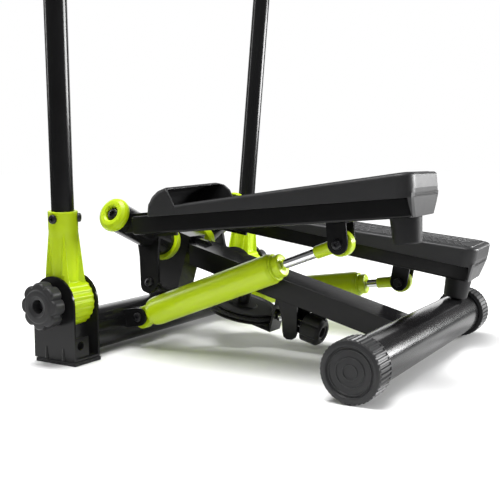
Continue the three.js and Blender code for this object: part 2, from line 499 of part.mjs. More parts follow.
for (const side of [{ name: 'right', sign: 1, lift: 0 }, { name: 'left', sign: -1, lift: SWING }]) {
  const placed = (g) => (side.sign > 0 ? g : mirroredX(g));
  const put = (name, geometry, style) => add(`${side.name}_${name}`, placed(geometry), style);
  const lifted = raise(side.lift);
  const pedalPose = lifted.clone().multiply(lowPose);
  const sleevePose = lifted.clone().multiply(pivotFrame);

  // fixed to the base
  put('bracket', bracket(), 'black_steel');
  put('foot_pad', box(PLATE_OUT - PLATE_IN + 2, 2 * PLATE_HALF - 2, PAD_T - GAP, hub.x + 1, HUB_Y - 3,
    (PAD_T - GAP) / 2), 'rubber');
  put('pedal_axle', bolt(AXLE_R, 160, 8.7, 5).applyMatrix4(frameAlong(pivotPoint(126.3),
    axisOut.clone().negate())), 'black_bolt');
  put('hub_bolt', join(bar(v3(PLATE_IN - 5, HUB_Y, HUB_Z), v3(PLATE_OUT + 24, HUB_Y, HUB_Z), 5, 24),
    prism(circle(8.5, 6), 6).rotateY(Math.PI / 2).translate(PLATE_IN - 6.3, HUB_Y, HUB_Z)), 'black_bolt');
  put('cylinder_base_bolt', bolt(4, 28, 6.5, 4, 25).applyMatrix4(frameAlong(v3(12.5, 0, 0), v3(-1, 0, 0)))
    .translate(BASE_EYE.x, BASE_EYE.y, BASE_EYE.z), 'black_bolt');

  // hand post, swinging about the hub
  put('post_socket', cut(socket(), ...screwBearings.map((b) => screwSpace(b).applyMatrix4(postFrame))),
    'lime_plastic');
  put('hand_post', cut(pipe(v3(0, 0, POST_START + GAP), v3(0, 0, POST_END), POST_R, POST_R - 2, 20),
    ...screwBearings.map((b) => screwSpace(b))).applyMatrix4(postFrame), 'black_steel');
  screwBearings.forEach((b, i) => put(`collar_screw_${i + 1}`, collarScrew(b).applyMatrix4(postFrame),
    'black_bolt'));
  put('hand_grip', turned([[POST_R + GAP, GRIP_FROM], [GRIP_R, GRIP_FROM], [GRIP_R + 1, GRIP_FROM + 8],
    [GRIP_R + 1, GRIP_TO - 10], [GRIP_R - 2, GRIP_TO - 2], [GRIP_R - 6, GRIP_TO], [0, GRIP_TO],
    [0, POST_END + GAP], [POST_R + GAP, POST_END + GAP]], 20)
    .applyMatrix4(postFrame), 'foam');
  put('clamp_knob', clampKnob(), 'black_plastic');

  // pedal
  put('pedal_arm', join(arm(), rodClevis()).applyMatrix4(pedalPose), 'black_steel');
  put('footplate', footplate().applyMatrix4(pedalPose), 'black_plastic');
  put('heel_bumper', turned([[0, -31.3], [15.5, -31.3], [17, -29.8], [19, -GAP], [0, -GAP]], 24)
    .translate(0, 5.75, ARM_LOW).applyMatrix4(pedalPose), 'rubber');
  put('rod_clevis_bolt', clevisBolt().applyMatrix4(pedalPose), 'black_bolt');
  const sleeve = turned([[SLEEVE_BORE, SLEEVE_FROM], [SLEEVE_R, SLEEVE_FROM], [SLEEVE_R, SLEEVE_TO],
    [SLEEVE_BORE, SLEEVE_TO]], 28);
  put('pivot_sleeve', join(sleeve, lever().applyMatrix4(leverTurn)).applyMatrix4(sleevePose), 'black_steel');
  const bush = (from, out, dish, r, taper) => turned([[AXLE_R + 0.2, from - out * 14],
    [SLEEVE_BORE - GAP, from - out * 14], [SLEEVE_BORE - GAP, from + out * GAP], [r, from + out * GAP],
    [r, from + out * 5], [r - taper / 3, from + out * 9], [r - taper, from + out * BUSH_LONG],
    [12, from + out * BUSH_LONG], [9.6, from + out * (BUSH_LONG - 2)], [9.6, from + out * dish],
    [AXLE_R + 0.2, from + out * dish]], 20);
  put('outer_bush', bush(SLEEVE_TO, 1, 4, BUSH_R, 6).applyMatrix4(sleevePose), 'lime_plastic');
  put('inner_bush', bush(SLEEVE_FROM, -1, 9, INNER_BUSH_R, 2).applyMatrix4(sleevePose), 'lime_plastic');
  const shackle = join(bolt(4, 20, 6.5, 4).applyMatrix4(frameAlong(v3(LEVER_LONG, 0, LEVER_AT + 5.1),
    v3(0, 0, -1))), turned([[3.5, -13.5], [7.5, -13.5], [7.5, -1.5], [3.5, -1.5]], 20)
    .translate(LEVER_LONG, 0, LEVER_AT), prism(circle(7, 6), 4).translate(LEVER_LONG, 0, LEVER_AT - 17.9));
  put('rope_anchor', shackle.applyMatrix4(leverTurn).applyMatrix4(sleevePose), 'black_bolt');

  // hydraulic cylinder between the front crossbar and the pedal arm
  const eyeAt = EYE.clone().applyMatrix4(pedalPose);
  const reach = eyeAt.clone().sub(BASE_EYE);
  const long = reach.length();
  const cylinderFrame = frameAlong(BASE_EYE, reach, v3(1, 0, 0));
  const eyeRing = (r, thick, z) => turned([[0, -thick / 2], [r, -thick / 2], [r, thick / 2], [0, thick / 2]], 24)
    .rotateY(Math.PI / 2).translate(0, 0, z);
  const eyeHole = (r, z) => bar(v3(-30, 0, z), v3(30, 0, z), r, 16);
  const body = turned([[0, BODY_FROM - 2], [9, BODY_FROM - 2], [15.5, BODY_FROM + 1], [19, BODY_FROM + 5],
    [BODY_R, BODY_FROM + 11], [BODY_R, BODY_TO - 4], [BODY_R - 1.2, BODY_TO], [0, BODY_TO]], 24);
  const chamber = turned([[0, 40], [16, 40], [16, BODY_TO + 1], [0, BODY_TO + 1]], 24);
  const baseNeck = box(13, 26, 22, 0, 0, 11);
  put('cylinder_body', cut(join(cut(body, chamber), eyeRing(14.5, 13, 0).translate(0, -3, 0), baseNeck), eyeHole(5, 0))
    .applyMatrix4(cylinderFrame), 'lime_paint');
  put('cylinder_gland', turned([[ROD_R + 0.06, BODY_TO - 14], [15.7, BODY_TO - 14], [15.7, BODY_TO + GAP],
    [BODY_R - 2, BODY_TO + GAP], [BODY_R - 2, BODY_TO + 2], [15.2, BODY_TO + 3], [15.2, GLAND_TO - 1.5],
    [13.5, GLAND_TO], [ROD_R + 0.06, GLAND_TO]], 24)
    .applyMatrix4(cylinderFrame), 'lime_paint');
  put('piston_rod', bar(v3(0, 0, long - 140), v3(0, 0, long - 21), ROD_R, 24)
    .applyMatrix4(cylinderFrame), 'chrome');
  const socketR = 8.4;
  put('rod_eye', cut(join(eyeRing(16, 15, long), turned([[0, long - 37], [socketR - 0.8, long - 37],
    [socketR, long - 36], [socketR, long - 8], [0, long - 8]], 20)), eyeHole(5.5, long),
  bar(v3(0, 0, long - 60), v3(0, 0, long - 21 + GAP), ROD_R + 0.05, 24)).applyMatrix4(cylinderFrame), 'lime_paint');
}

// ---------------------------------------------------------------- rope
// Rope from one lever round the pulley to the other lever.
const anchorPoint = (lift) => v3(LEVER_LONG, 0, LEVER_AT - 7.5).applyMatrix4(leverTurn)
  .applyMatrix4(raise(lift).multiply(pivotFrame));
const ropePath = new THREE.CurvePath();
const rightEnd = anchorPoint(0), leftEnd = anchorPoint(SWING).multiply(v3(-1, 1, 1));
const groove = PULLEY_R - 1.6;
const onPulley = (a) => v3(groove * Math.cos(a), groove * Math.sin(a), 0).applyMatrix4(pulleyFrame);
const arc = Array.from({ length: 21 }, (_, i) => onPulley((12 - (i * 204) / 20) * DEG));
const outOf = (from, to) => from.clone().addScaledVector(to.clone().sub(from).normalize(), 11.5);
const line = [outOf(rightEnd, arc[0]), ...arc, outOf(leftEnd, arc[20])];
line.slice(1).forEach((p, i) => ropePath.add(new THREE.LineCurve3(line[i], p)));
const sweep = [];
for (let i = 0; i < line.length; i++) {
  const before = line[Math.max(i - 1, 0)], after = line[Math.min(i + 1, line.length - 1)];
  const f = frameAlong(line[i], after.clone().sub(before), v3(0, 0, 1));
  sweep.push(circle(3, 10).map((p) => v3(p.x, p.y, 0).applyMatrix4(f)));
}
add('rope', loft(sweep), 'rope');

export default model;
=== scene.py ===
# Twin-pedal stepper with two hand posts: the looks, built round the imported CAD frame.
# Lengths are in millimetres, with Y from the axis of the rear crossbar, until to_mesh() turns them into
# metres in the row frame. Angles are in degrees.
import bpy
import bmesh
import json
from math import acos, atan, atan2, cos, pi, radians, sin, sqrt, tan
from mathutils import Matrix, Vector


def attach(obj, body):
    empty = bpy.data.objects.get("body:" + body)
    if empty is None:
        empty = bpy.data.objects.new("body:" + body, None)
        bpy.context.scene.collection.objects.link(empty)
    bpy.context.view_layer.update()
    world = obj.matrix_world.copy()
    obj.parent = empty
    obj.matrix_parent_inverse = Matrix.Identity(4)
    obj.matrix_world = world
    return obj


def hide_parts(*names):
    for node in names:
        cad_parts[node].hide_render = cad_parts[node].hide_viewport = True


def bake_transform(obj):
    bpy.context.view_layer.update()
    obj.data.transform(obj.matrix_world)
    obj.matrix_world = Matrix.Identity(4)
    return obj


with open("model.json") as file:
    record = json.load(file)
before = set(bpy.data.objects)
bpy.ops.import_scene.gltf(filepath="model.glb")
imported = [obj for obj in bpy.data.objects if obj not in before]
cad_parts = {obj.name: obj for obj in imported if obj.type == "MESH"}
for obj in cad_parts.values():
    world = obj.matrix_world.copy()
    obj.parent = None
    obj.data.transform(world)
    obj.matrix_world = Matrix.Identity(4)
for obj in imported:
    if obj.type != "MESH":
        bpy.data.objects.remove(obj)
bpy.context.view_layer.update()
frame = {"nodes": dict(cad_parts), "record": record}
scene = bpy.context.scene

# ------------------------------------------------------------------ camera, in metres in the row frame
FOCAL_PX, FRAME_PX, SENSOR = 779.3, 500, 36
YAW, PITCH, ROLL = radians(31.165), radians(5.972), radians(0.279)
CAMERA_AT = (-0.9739, -0.5311, 0.2543)


def add_camera():
    data = bpy.data.cameras.new("camera")
    data.sensor_width = SENSOR
    data.lens = FOCAL_PX / FRAME_PX * SENSOR
    data.clip_start, data.clip_end = 0.05, 60
    cam = bpy.data.objects.new("camera", data)
    scene.collection.objects.link(cam)
    ahead = Vector((cos(YAW) * cos(PITCH), sin(YAW) * cos(PITCH), -sin(PITCH)))
    right = ahead.cross(Vector((0, 0, 1))).normalized()
    up = right.cross(ahead)
    right, up = right * cos(ROLL) - up * sin(ROLL), up * cos(ROLL) + right * sin(ROLL)
    turn = Matrix((right, up, -ahead)).transposed().to_4x4()
    cam.matrix_world = Matrix.Translation(CAMERA_AT) @ turn
    scene.camera = cam


add_camera()

# ------------------------------------------------------------------ driving dimensions, as in the CAD source
# _R is a radius, _LONG a length, _FROM, _TO, _START, _END and _AT are places along the piece's own axis
ORIGIN_Y = 199.0
REAR_BAR_Z, REAR_BAR_R = 36, 30
CAP_R, CAP_LONG, CAP_OUT = 36, 34, 221.5
PLATE_IN, PLATE_OUT, PLATE_HALF = 198.6, 245.6, 36.4
HUB_X, HUB_Y, HUB_Z, HUB_R, HUB_HALF = 222.1, 410, 79.3, 33.5, 20.2
POST_OUT, POST_BACK = 3.7, 3.2
POST_R, POST_START, POST_END, COLLAR_AT, COLLAR_R = 14.6, 52, 1090, 122, 19.3
FIN_REACH = 25
GRIP_R, GRIP_FROM, GRIP_TO = 17.5, 950, 1100
PIVOT = Vector((41, 379, 142.5))
CANT, SWING = 23.1, 15.69
SLEEVE_R, SLEEVE_BORE, SLEEVE_FROM, SLEEVE_TO = 21, 18, 10, 122
BUSH_R, INNER_BUSH_R, BUSH_LONG, AXLE_R = 23.4, 26.5, 12, 8
PEDAL_X, PEDAL_PITCH, PEDAL_YAW = 145.35, 9.49, 3.96
ARM_HALF, ARM_LOW, ARM_HIGH, ARM_FRONT, ARM_HEEL = 42, 98, 25, 373, -14.5
DECK_HALF, DECK_HEEL, DECK_TOE, SKIRT_LOW = 60, -21.5, 334, 121.2
HEEL_SEAM, HEEL_DRAW, HEEL_TOP, TOE_TOP, SKIN = 131, 0.15, 148.8, 131.4, 3.5
EYE = Vector((0, 88.5, 70.6))
BASE_EYE = Vector((114, 366, 46))
BODY_R, BODY_FROM, BODY_TO, GLAND_TO, ROD_R = 20, 16, 227, 240, 6.2
LEVER_AT, LEVER_LONG, LEVER_TURN = 42, 76, -2.2
PULLEY = Vector((0, 271, 49.5))
PULLEY_R, SCREW_UP, BEAM_SLOPE = 52, 10, 15
GAP = 0.3
# ribs, lobes, tread, clevis, rope and thread
CAP_RIBS, CAP_RIB_DEEP = 40, 1.9
HUB_RIDGES, HUB_RIDGE_DEEP = 24, 1.15
CLAMP_LOBES, CLAMP_LOBE_DEEP, CLAMP_KNOB_LONG = 8, 4.6, 26.0
ADJUSTER_LOBES, ADJUSTER_LOBE_DEEP = 6, 2.4
TREAD_HALF, TREAD_SINK, TREAD_RISE = 46, -1.0, 1.15
CHEVRONS, CHEVRON_STEP, CHEVRON_RISE, CHEVRON_WIDE = 12, 10.5, 17, 4.6
WAVES, WAVE_FROM, WAVE_STEP, WAVE_DEEP, WAVE_WIDE = 13, 142, 9.4, 1.8, 3.8
CLEVIS_R, CLEVIS_BORE, CLEVIS_THICK, CLEVIS_TOP = 13, 4.1, 3.5, 28
ROPE_R, ROPE_RELIEF, ROPE_TWIST, ROPE_STEP = 2.72, 0.3, 0.95, 0.7
THREAD_R, THREAD_DEEP, THREAD_PITCH = 4.25, 0.6, 1.5
SCREW_R, SCREW_HEAD, SOCKET_HEX_OVER = 4, (6.5, 4), 1.04

# angles above which an edge stays sharp: most pieces, arm, footplate, lobed knobs, moulded and braided pieces
CRISP, ARM_EDGE, DECK_EDGE, SOFT, REMESHED = 38, 40, 42, 50, 80


# ------------------------------------------------------------------ frames
def V(*p):
    return Vector(p)


def turn(axis, degrees):
    return Matrix.Rotation(radians(degrees), 4, axis)


def shift(x, y=0.0, z=0.0):
    return Matrix.Translation((x, y, z))


def frame_along(origin, along, hint=(1, 0, 0)):
    """Frame with its Z along a direction and its X as near to the hint as that allows."""
    z = Vector(along).normalized()
    h = Vector(hint)
    if abs(z.dot(h)) > 0.99:
        h = Vector((h.y, h.z, h.x))
    x = (h - z * h.dot(z)).normalized()
    y = z.cross(x)
    return Matrix.Translation(origin) @ Matrix((x, y, z)).transposed().to_4x4()


ACROSS = ((1, 0, 0), (0, 0, 1))
MIRROR = Matrix.Diagonal((-1, 1, 1, 1))
TO_ROW = Matrix.Diagonal((0.001, 0.001, 0.001, 1)) @ shift(0, -ORIGIN_Y, 0)
AXIS_OUT = V(cos(radians(CANT)), 0, sin(radians(CANT)))
PIVOT_FRAME = frame_along(PIVOT, AXIS_OUT, (0, 0, -1))
LOW_POSE = shift(PEDAL_X) @ turn("Z", PEDAL_YAW) @ turn("X", PEDAL_PITCH)
POST_DIR = V(sin(radians(POST_OUT)), -sin(radians(POST_BACK)), 1).normalized()
POST_FRAME = frame_along((HUB_X, HUB_Y, HUB_Z), POST_DIR)
PULLEY_FRAME = Matrix.Translation(PULLEY) @ turn("X", BEAM_SLOPE)
SCREW_DIR = V(0, cos(radians(BEAM_SLOPE)), sin(radians(BEAM_SLOPE)))
SCREW_ORIGIN = PULLEY + V(0, -SCREW_DIR.z, SCREW_DIR.y) * SCREW_UP


def raised(lift):
    """A pedal's tread about its canted axle, from its lowest place."""
    about_axle = Matrix.Rotation(radians(-lift), 4, AXIS_OUT)
    return Matrix.Translation(PIVOT) @ about_axle @ Matrix.Translation(-PIVOT)


def pivot_point(s):
    return PIVOT + AXIS_OUT * s


def screw_point(y):
    return SCREW_ORIGIN + SCREW_DIR * ((y - SCREW_ORIGIN.y) / SCREW_DIR.y)


# ------------------------------------------------------------------ shapes
class Shape:
    def __init__(self, verts, faces):
        self.verts = [Vector(v) for v in verts]
        self.faces = faces

    def moved(self, m):
        faces = [f[::-1] for f in self.faces] if m.determinant() < 0 else self.faces
        return Shape([m @ v for v in self.verts], faces)

    def __add__(self, other):
        n = len(self.verts)
        return Shape(self.verts + other.verts, self.faces + [[i + n for i in f] for f in other.faces])


def rounded(points, radius, steps=4, closed=True):
    """A polygon or open line with each corner turned into an arc. radius is one number or one per point."""
    pts = [Vector((p[0], p[1])) for p in points]
    n = len(pts)
    rs = radius if isinstance(radius, (list, tuple)) else [radius] * n
    out = []
    for i, p in enumerate(pts):
        if (not closed and i in (0, n - 1)) or rs[i] <= 0:
            out.append(p)
            continue
        a, b = pts[i - 1] - p, pts[(i + 1) % n] - p
        la, lb = a.length, b.length
        if la < 1e-9 or lb < 1e-9:
            out.append(p)
            continue
        a, b = a / la, b / lb
        half = max(min(a.dot(b), 1), -1)
        angle = (pi - acos(half)) / 2
        if angle < 0.02:
            out.append(p)
            continue
        reach = min(rs[i] * tan(angle), la * 0.49, lb * 0.49)
        r = reach / tan(angle)
        start, end = p + a * reach, p + b * reach
        centre = p + (a + b).normalized() * sqrt(reach * reach + r * r)
        s, e = start - centre, end - centre
        for k in range(steps + 1):
            t = k / steps
            d = s.lerp(e, t)
            out.append(centre + d.normalized() * r)
    return [(p.x, p.y) for p in out]


def skin(rings, loop=False):
    """Rings of equal length joined into a tube, closed at both ends or running back to its start."""
    n = len(rings[0])
    verts = [p for ring in rings for p in ring]
    faces = []
    pairs = len(rings) if loop else len(rings) - 1
    for k in range(pairs):
        a0, b0 = k * n, ((k + 1) % len(rings)) * n
        for i in range(n):
            j = (i + 1) % n
            faces.append([a0 + i, a0 + j, b0 + j, b0 + i])
    if not loop:
        faces.append(list(range(n))[::-1])
        faces.append([(len(rings) - 1) * n + i for i in range(n)])
    return Shape(verts, faces)


def lathe(profile, n=96, wave=None):
    """Spun about Z. A profile that starts on the axis is closed by points there, any other runs in a loop."""
    verts, faces, rings = [], [], []
    for r, z in profile:
        if r < 1e-6:
            rings.append([len(verts)])
            verts.append((0, 0, z))
        else:
            ring = []
            for i in range(n):
                t = 2 * pi * i / n
                rr = wave(t, r, z) if wave else r
                ring.append(len(verts))
                verts.append((rr * cos(t), rr * sin(t), z))
            rings.append(ring)
    loop = profile[0][0] > 1e-6
    for k in range(len(rings) if loop else len(rings) - 1):
        a, b = rings[k], rings[(k + 1) % len(rings)]
        for i in range(n):
            j = (i + 1) % n
            if len(a) == 1 and len(b) == 1:
                continue
            if len(a) == 1:
                faces.append([a[0], b[j], b[i]])
            elif len(b) == 1:
                faces.append([a[i], a[j], b[0]])
            else:
                faces.append([a[i], a[j], b[j], b[i]])
    return Shape(verts, faces)


def turned(points, radii, steps, n):
    """An open profile with its corners rounded, spun about Z."""
    return lathe(rounded(points, radii, steps, closed=False), n)


def inset(outline, d):
    """The outline drawn in by d, point by point."""
    n, out = len(outline), []
    area = sum(outline[i][0] * outline[(i + 1) % n][1] - outline[(i + 1) % n][0] * outline[i][1]
               for i in range(n))
    side = 1 if area > 0 else -1
    for i in range(n):
        p, a, b = Vector(outline[i]), Vector(outline[i - 1]), Vector(outline[(i + 1) % n])
        u, w = (p - a), (b - p)
        if u.length < 1e-9 or w.length < 1e-9:
            out.append((p.x, p.y))
            continue
        u.normalize()
        w.normalize()
        nu, nw = Vector((-u.y, u.x)) * side, Vector((-w.y, w.x)) * side
        m = nu + nw
        m = m / max(m.dot(nu), 0.35) if m.length > 1e-6 else nu
        out.append((p.x + m.x * d, p.y + m.y * d))
    return out


def slab(outline, z0, z1, edge=0.6, steps=3):
    """A plate of any outline along Z, with its two rims rounded."""
    low = [[(x, y, z0 + edge - edge * cos(t)) for x, y in inset(outline, edge * (1 - sin(t)))]
           for t in [(pi / 2) * k / steps for k in range(steps + 1)]]
    high = [[(x, y, z1 - edge + edge * cos(t)) for x, y in inset(outline, edge * (1 - sin(t)))]
            for t in [(pi / 2) * k / steps for k in range(steps, -1, -1)]]
    return skin(low + high)


def holed_slab(outline, hole_r, z0, z1):
    """A plate with a round hole at the origin, for outlines that can all be seen from there."""
    n, e = 64, 0.5
    pts = [Vector(p) for p in outline]

    def reach(t):
        d = Vector((cos(t), sin(t)))
        best = None
        for i, a in enumerate(pts):
            line = pts[(i + 1) % len(pts)] - a
            det = d.x * -line.y + line.x * d.y
            if abs(det) < 1e-9:
                continue
            s = (a.x * -line.y + line.x * a.y) / det
            u = (d.x * a.y - d.y * a.x) / det
            if s > 0 and -1e-6 <= u <= 1 + 1e-6 and (best is None or s < best):
                best = s
        return best or hole_r + 1

    angles = sorted(set([2 * pi * i / n for i in range(n)] + [atan2(p.y, p.x) % (2 * pi) for p in pts]))
    kept = [angles[0]]
    for t in angles[1:]:
        if t - kept[-1] > 1e-3:
            kept.append(t)
    outer = [(reach(t) * cos(t), reach(t) * sin(t)) for t in kept]

    def rim(d, z):
        return [(x, y, z) for x, y in inset(outer, d)]

    def bore(d, z):
        return [((hole_r + d) * cos(t), (hole_r + d) * sin(t), z) for t in kept]
    return skin([rim(e, z0), rim(0.3 * e, z0 + 0.3 * e), rim(0, z0 + e), rim(0, z1 - e),
                 rim(0.3 * e, z1 - 0.3 * e), rim(e, z1), bore(e, z1), bore(0, z1 - e), bore(0, z0 + e),
                 bore(e, z0)], loop=True)


def rounded_rect(hx, y0, y1, r0, r1, steps=8):
    """Outline of half width hx from y0 to y1, with corners of radius r0 at y0 and r1 at y1."""
    return rounded([(hx, y1), (-hx, y1), (-hx, y0), (hx, y0)], [r1, r1, r0, r0], steps)


def rounded_box(sx, sy, sz, x, y, z, r=1.0):
    """Box with rounded upright edges and rims, centred on a point."""
    outline = rounded([(sx / 2, sy / 2), (-sx / 2, sy / 2), (-sx / 2, -sy / 2), (sx / 2, -sy / 2)], r, 3)
    return slab(outline, -sz / 2, sz / 2, min(r, sz * 0.45)).moved(shift(x, y, z))


# ------------------------------------------------------------------ materials
CLOUD_SPAN, SCUFF_SPAN, GLOSS_SPAN = (0.3, 0.7), (0.58, 0.82), (0.25, 0.75)
UPWARD_SPAN = (0.80, 0.94)


def map_range(nt, value, span, result=(0, 1), smooth=False):
    """Output of a node that turns one span of values into another."""
    n = nt.nodes.new("ShaderNodeMapRange")
    n.interpolation_type = "SMOOTHSTEP" if smooth else "LINEAR"
    n.inputs["From Min"].default_value, n.inputs["From Max"].default_value = span
    n.inputs["To Min"].default_value, n.inputs["To Max"].default_value = result
    nt.links.new(value, n.inputs["Value"])
    return n.outputs["Result"]


def combine(nt, operation, a, b):
    """Output of a node that adds or multiplies two values."""
    n = nt.nodes.new("ShaderNodeMath")
    n.operation = operation
    nt.links.new(a, n.inputs[0])
    nt.links.new(b, n.inputs[1])
    return n.outputs["Value"]


def colour_mix(nt, factor, a, b):
    """Output of a node that runs from colour output a to the plain colour b."""
    n = nt.nodes.new("ShaderNodeMix")
    n.data_type = "RGBA"
    nt.links.new(factor, n.inputs["Factor"])
    nt.links.new(a, n.inputs["A"])
    n.inputs["B"].default_value = (*b, 1)
    return n.outputs["Result"]


def material(name, light, dark, rough, metallic=0.0, coat=0.0, coat_rough=0.1, grain=900.0, bump=0.05,
             depth=0.00005, spec=0.5, blotch=9.0, spread=0.08, stretch=(1, 1, 1), sheen=0.0, scuff=0.0,
             top=None):
    """Cloudy colour, uneven gloss and a fine grain, all from noise in the object's own coordinates.

    top is the roughness and the reflectance of the faces that look up, where feet take off the shine.
    """
    m = bpy.data.materials.new(name)
    m.use_nodes = True
    nt = m.node_tree
    b = nt.nodes["Principled BSDF"]
    b.inputs["Metallic"].default_value = metallic
    b.inputs["Coat Weight"].default_value = coat
    b.inputs["Coat Roughness"].default_value = coat_rough
    b.inputs["Specular IOR Level"].default_value = spec
    b.inputs["Sheen Weight"].default_value = sheen
    where = nt.nodes.new("ShaderNodeTexCoord")
    place = nt.nodes.new("ShaderNodeMapping")
    place.inputs["Scale"].default_value = stretch
    nt.links.new(where.outputs["Object"], place.inputs["Vector"])

    def noise(scale, detail, uneven=0.5):
        t = nt.nodes.new("ShaderNodeTexNoise")
        t.inputs["Scale"].default_value = scale
        t.inputs["Detail"].default_value = detail
        t.inputs["Roughness"].default_value = uneven
        nt.links.new(place.outputs["Vector"], t.inputs["Vector"])
        return t.outputs["Fac"]
    cloud, fine, gloss = noise(blotch, 5), noise(grain, 2), noise(blotch * 4, 6, 0.6)
    ramp = nt.nodes.new("ShaderNodeValToRGB")
    for stop, at, shade in zip(ramp.color_ramp.elements, CLOUD_SPAN, (dark, light)):
        stop.position, stop.color = at, (*shade, 1)
    nt.links.new(cloud, ramp.inputs["Fac"])
    colour = ramp.outputs["Color"]
    if scuff:
        rub = map_range(nt, noise(blotch * 9, 8, 0.75), SCUFF_SPAN, (0, scuff))
        colour = colour_mix(nt, rub, colour, [min(1, c * 2.2 + 0.03) for c in light])
    nt.links.new(colour, b.inputs["Base Color"])
    shine = map_range(nt, gloss, GLOSS_SPAN, (rough - spread, rough + spread))
    if top:
        facing = nt.nodes.new("ShaderNodeSeparateXYZ")
        nt.links.new(where.outputs["Normal"], facing.inputs["Vector"])
        upward = facing.outputs["Z"]
        shine = combine(nt, "ADD", shine, map_range(nt, upward, UPWARD_SPAN, (0, top[0] - rough)))
        nt.links.new(map_range(nt, upward, UPWARD_SPAN, (spec, top[1])), b.inputs["Specular IOR Level"])
    nt.links.new(shine, b.inputs["Roughness"])
    relief = nt.nodes.new("ShaderNodeBump")
    relief.inputs["Strength"].default_value = bump
    relief.inputs["Distance"].default_value = depth
    nt.links.new(fine, relief.inputs["Height"])
    nt.links.new(relief.outputs["Normal"], b.inputs["Normal"])
    return m


MAT = {
    "black_steel": material("powder_coat_black", (0.0115, 0.0115, 0.012), (0.0085, 0.0085, 0.009), 0.19,
                            grain=700, bump=0.1, depth=0.00003, spread=0.03, spec=0.21),
    "black_plastic": material("charcoal_plastic", (0.025, 0.025, 0.026), (0.021, 0.021, 0.022), 0.45,
                              grain=1900, bump=0.4, depth=0.00005, spread=0.05, spec=0.32, scuff=0.03,
                              top=(0.72, 0.17)),
    "lime_plastic": material("lime_plastic", (0.52, 0.70, 0.005), (0.49, 0.665, 0.004), 0.34, grain=1200,
                             bump=0.15, depth=0.00003, spread=0.04, spec=0.3),
    "lime_paint": material("lime_enamel", (0.57, 0.76, 0.008), (0.545, 0.73, 0.006), 0.3, coat=0.12,
                           coat_rough=0.14, grain=600, bump=0.06, depth=0.00002, spread=0.02, spec=0.4),
    "chrome": material("chrome", (0.80, 0.80, 0.82), (0.74, 0.74, 0.76), 0.08, metallic=1.0, grain=2500,
                       bump=0.08, depth=0.00002, spread=0.02),
    "rubber": material("rubber", (0.014, 0.014, 0.015), (0.010, 0.010, 0.011), 0.58, grain=1300, bump=0.4,
                       depth=0.00007, spread=0.06, spec=0.3, scuff=0.04),
    "black_bolt": material("black_oxide", (0.030, 0.030, 0.033), (0.018, 0.018, 0.020), 0.3, metallic=0.5,
                           grain=1600, bump=0.3, depth=0.00003),
    "rope": material("braided_rope", (0.024, 0.024, 0.026), (0.012, 0.012, 0.013), 0.8, grain=4200, bump=0.9,
                     depth=0.00025, blotch=300, sheen=0.15, stretch=(1, 1, 0.35)),
    "foam": material("grip_foam", (0.022, 0.022, 0.023), (0.013, 0.013, 0.014), 0.9, grain=1500, bump=0.9,
                     depth=0.0003, spread=0.05, sheen=0.12),
}

# ------------------------------------------------------------------ pieces
NODE_SLOT = {s["node"]: s["material_slot"] for s in frame["record"]["subparts"]}
NODE_BODY = {n: b for b, members in frame["record"]["behaviour"]["bodies"].items() for n in members}
# in metres, but for the two angles
WELD = 2e-6
RIM_WIDE, RIM_FROM, FLAT_WITHIN = 0.0007, 28, 0.6


def plain_mesh(name, shape):
    """The shape as it is, in its own units."""
    mesh = bpy.data.meshes.new(name)
    mesh.from_pydata([tuple(v) for v in shape.verts], [], shape.faces)
    return mesh


def face_outwards(mesh, weld=None):
    """Normals made consistent, after points closer than the weld distance are merged."""
    bm = bmesh.new()
    bm.from_mesh(mesh)
    if weld:
        bmesh.ops.remove_doubles(bm, verts=bm.verts, dist=weld)
        bmesh.ops.dissolve_degenerate(bm, edges=bm.edges, dist=1e-7)
    bmesh.ops.recalc_face_normals(bm, faces=bm.faces)
    bm.to_mesh(mesh)
    bm.free()


def to_mesh(name, shape, mirrored=False, sharp=CRISP):
    """Finished mesh in metres in the row frame, smooth but for edges above the sharp angle."""
    mesh = plain_mesh(name, shape.moved(TO_ROW @ MIRROR if mirrored else TO_ROW))
    face_outwards(mesh, weld=WELD)
    mesh.polygons.foreach_set("use_smooth", [True] * len(mesh.polygons))
    mesh.set_sharp_from_angle(angle=radians(sharp))
    return mesh


def temporary(shape, name):
    """Scratch object in millimetres, for modifiers to work on."""
    mesh = plain_mesh(name, shape)
    face_outwards(mesh)
    o = bpy.data.objects.new(name, mesh)
    scene.collection.objects.link(o)
    return o


def subtract(body, cutters, self_crossing):
    """A boolean modifier on the body for each cutter. Gives the scratch objects that they use."""
    tools = [temporary(c, "temp_cut") for c in cutters]
    for t in tools:
        cut = body.modifiers.new("cut", "BOOLEAN")
        cut.operation, cut.object, cut.solver, cut.use_self = "DIFFERENCE", t, "EXACT", self_crossing
    return tools


def melt(body, voxel):
    """Everything joined into one skin of even small faces."""
    remesh = body.modifiers.new("melt", "REMESH")
    remesh.mode, remesh.voxel_size = "VOXEL", voxel


def harvest(body, tools):
    """The shape that the body's modifiers make; the scratch objects go."""
    mesh = bpy.data.meshes.new_from_object(body.evaluated_get(bpy.context.evaluated_depsgraph_get()))
    out = Shape([v.co.copy() for v in mesh.vertices], [list(p.vertices) for p in mesh.polygons])
    for o in [body] + tools:
        bpy.data.objects.remove(o)
    bpy.data.meshes.remove(mesh)
    return out


def moulded(shape, cutters, voxel, smooth):
    """Union of overlapping shapes, less the cutters, melted together as one moulding."""
    body = temporary(shape, "temp_body")
    melt(body, voxel)
    tools = subtract(body, cutters, False)
    melt(body, voxel)
    soften = body.modifiers.new("smooth", "SMOOTH")
    soften.factor, soften.iterations = 0.5, smooth
    return harvest(body, tools)


def boolean_cut(shape, cutters):
    """Overlapping shapes joined, less the cutters, with crisp edges."""
    body = temporary(shape, "temp_body")
    return harvest(body, subtract(body, cutters, True))


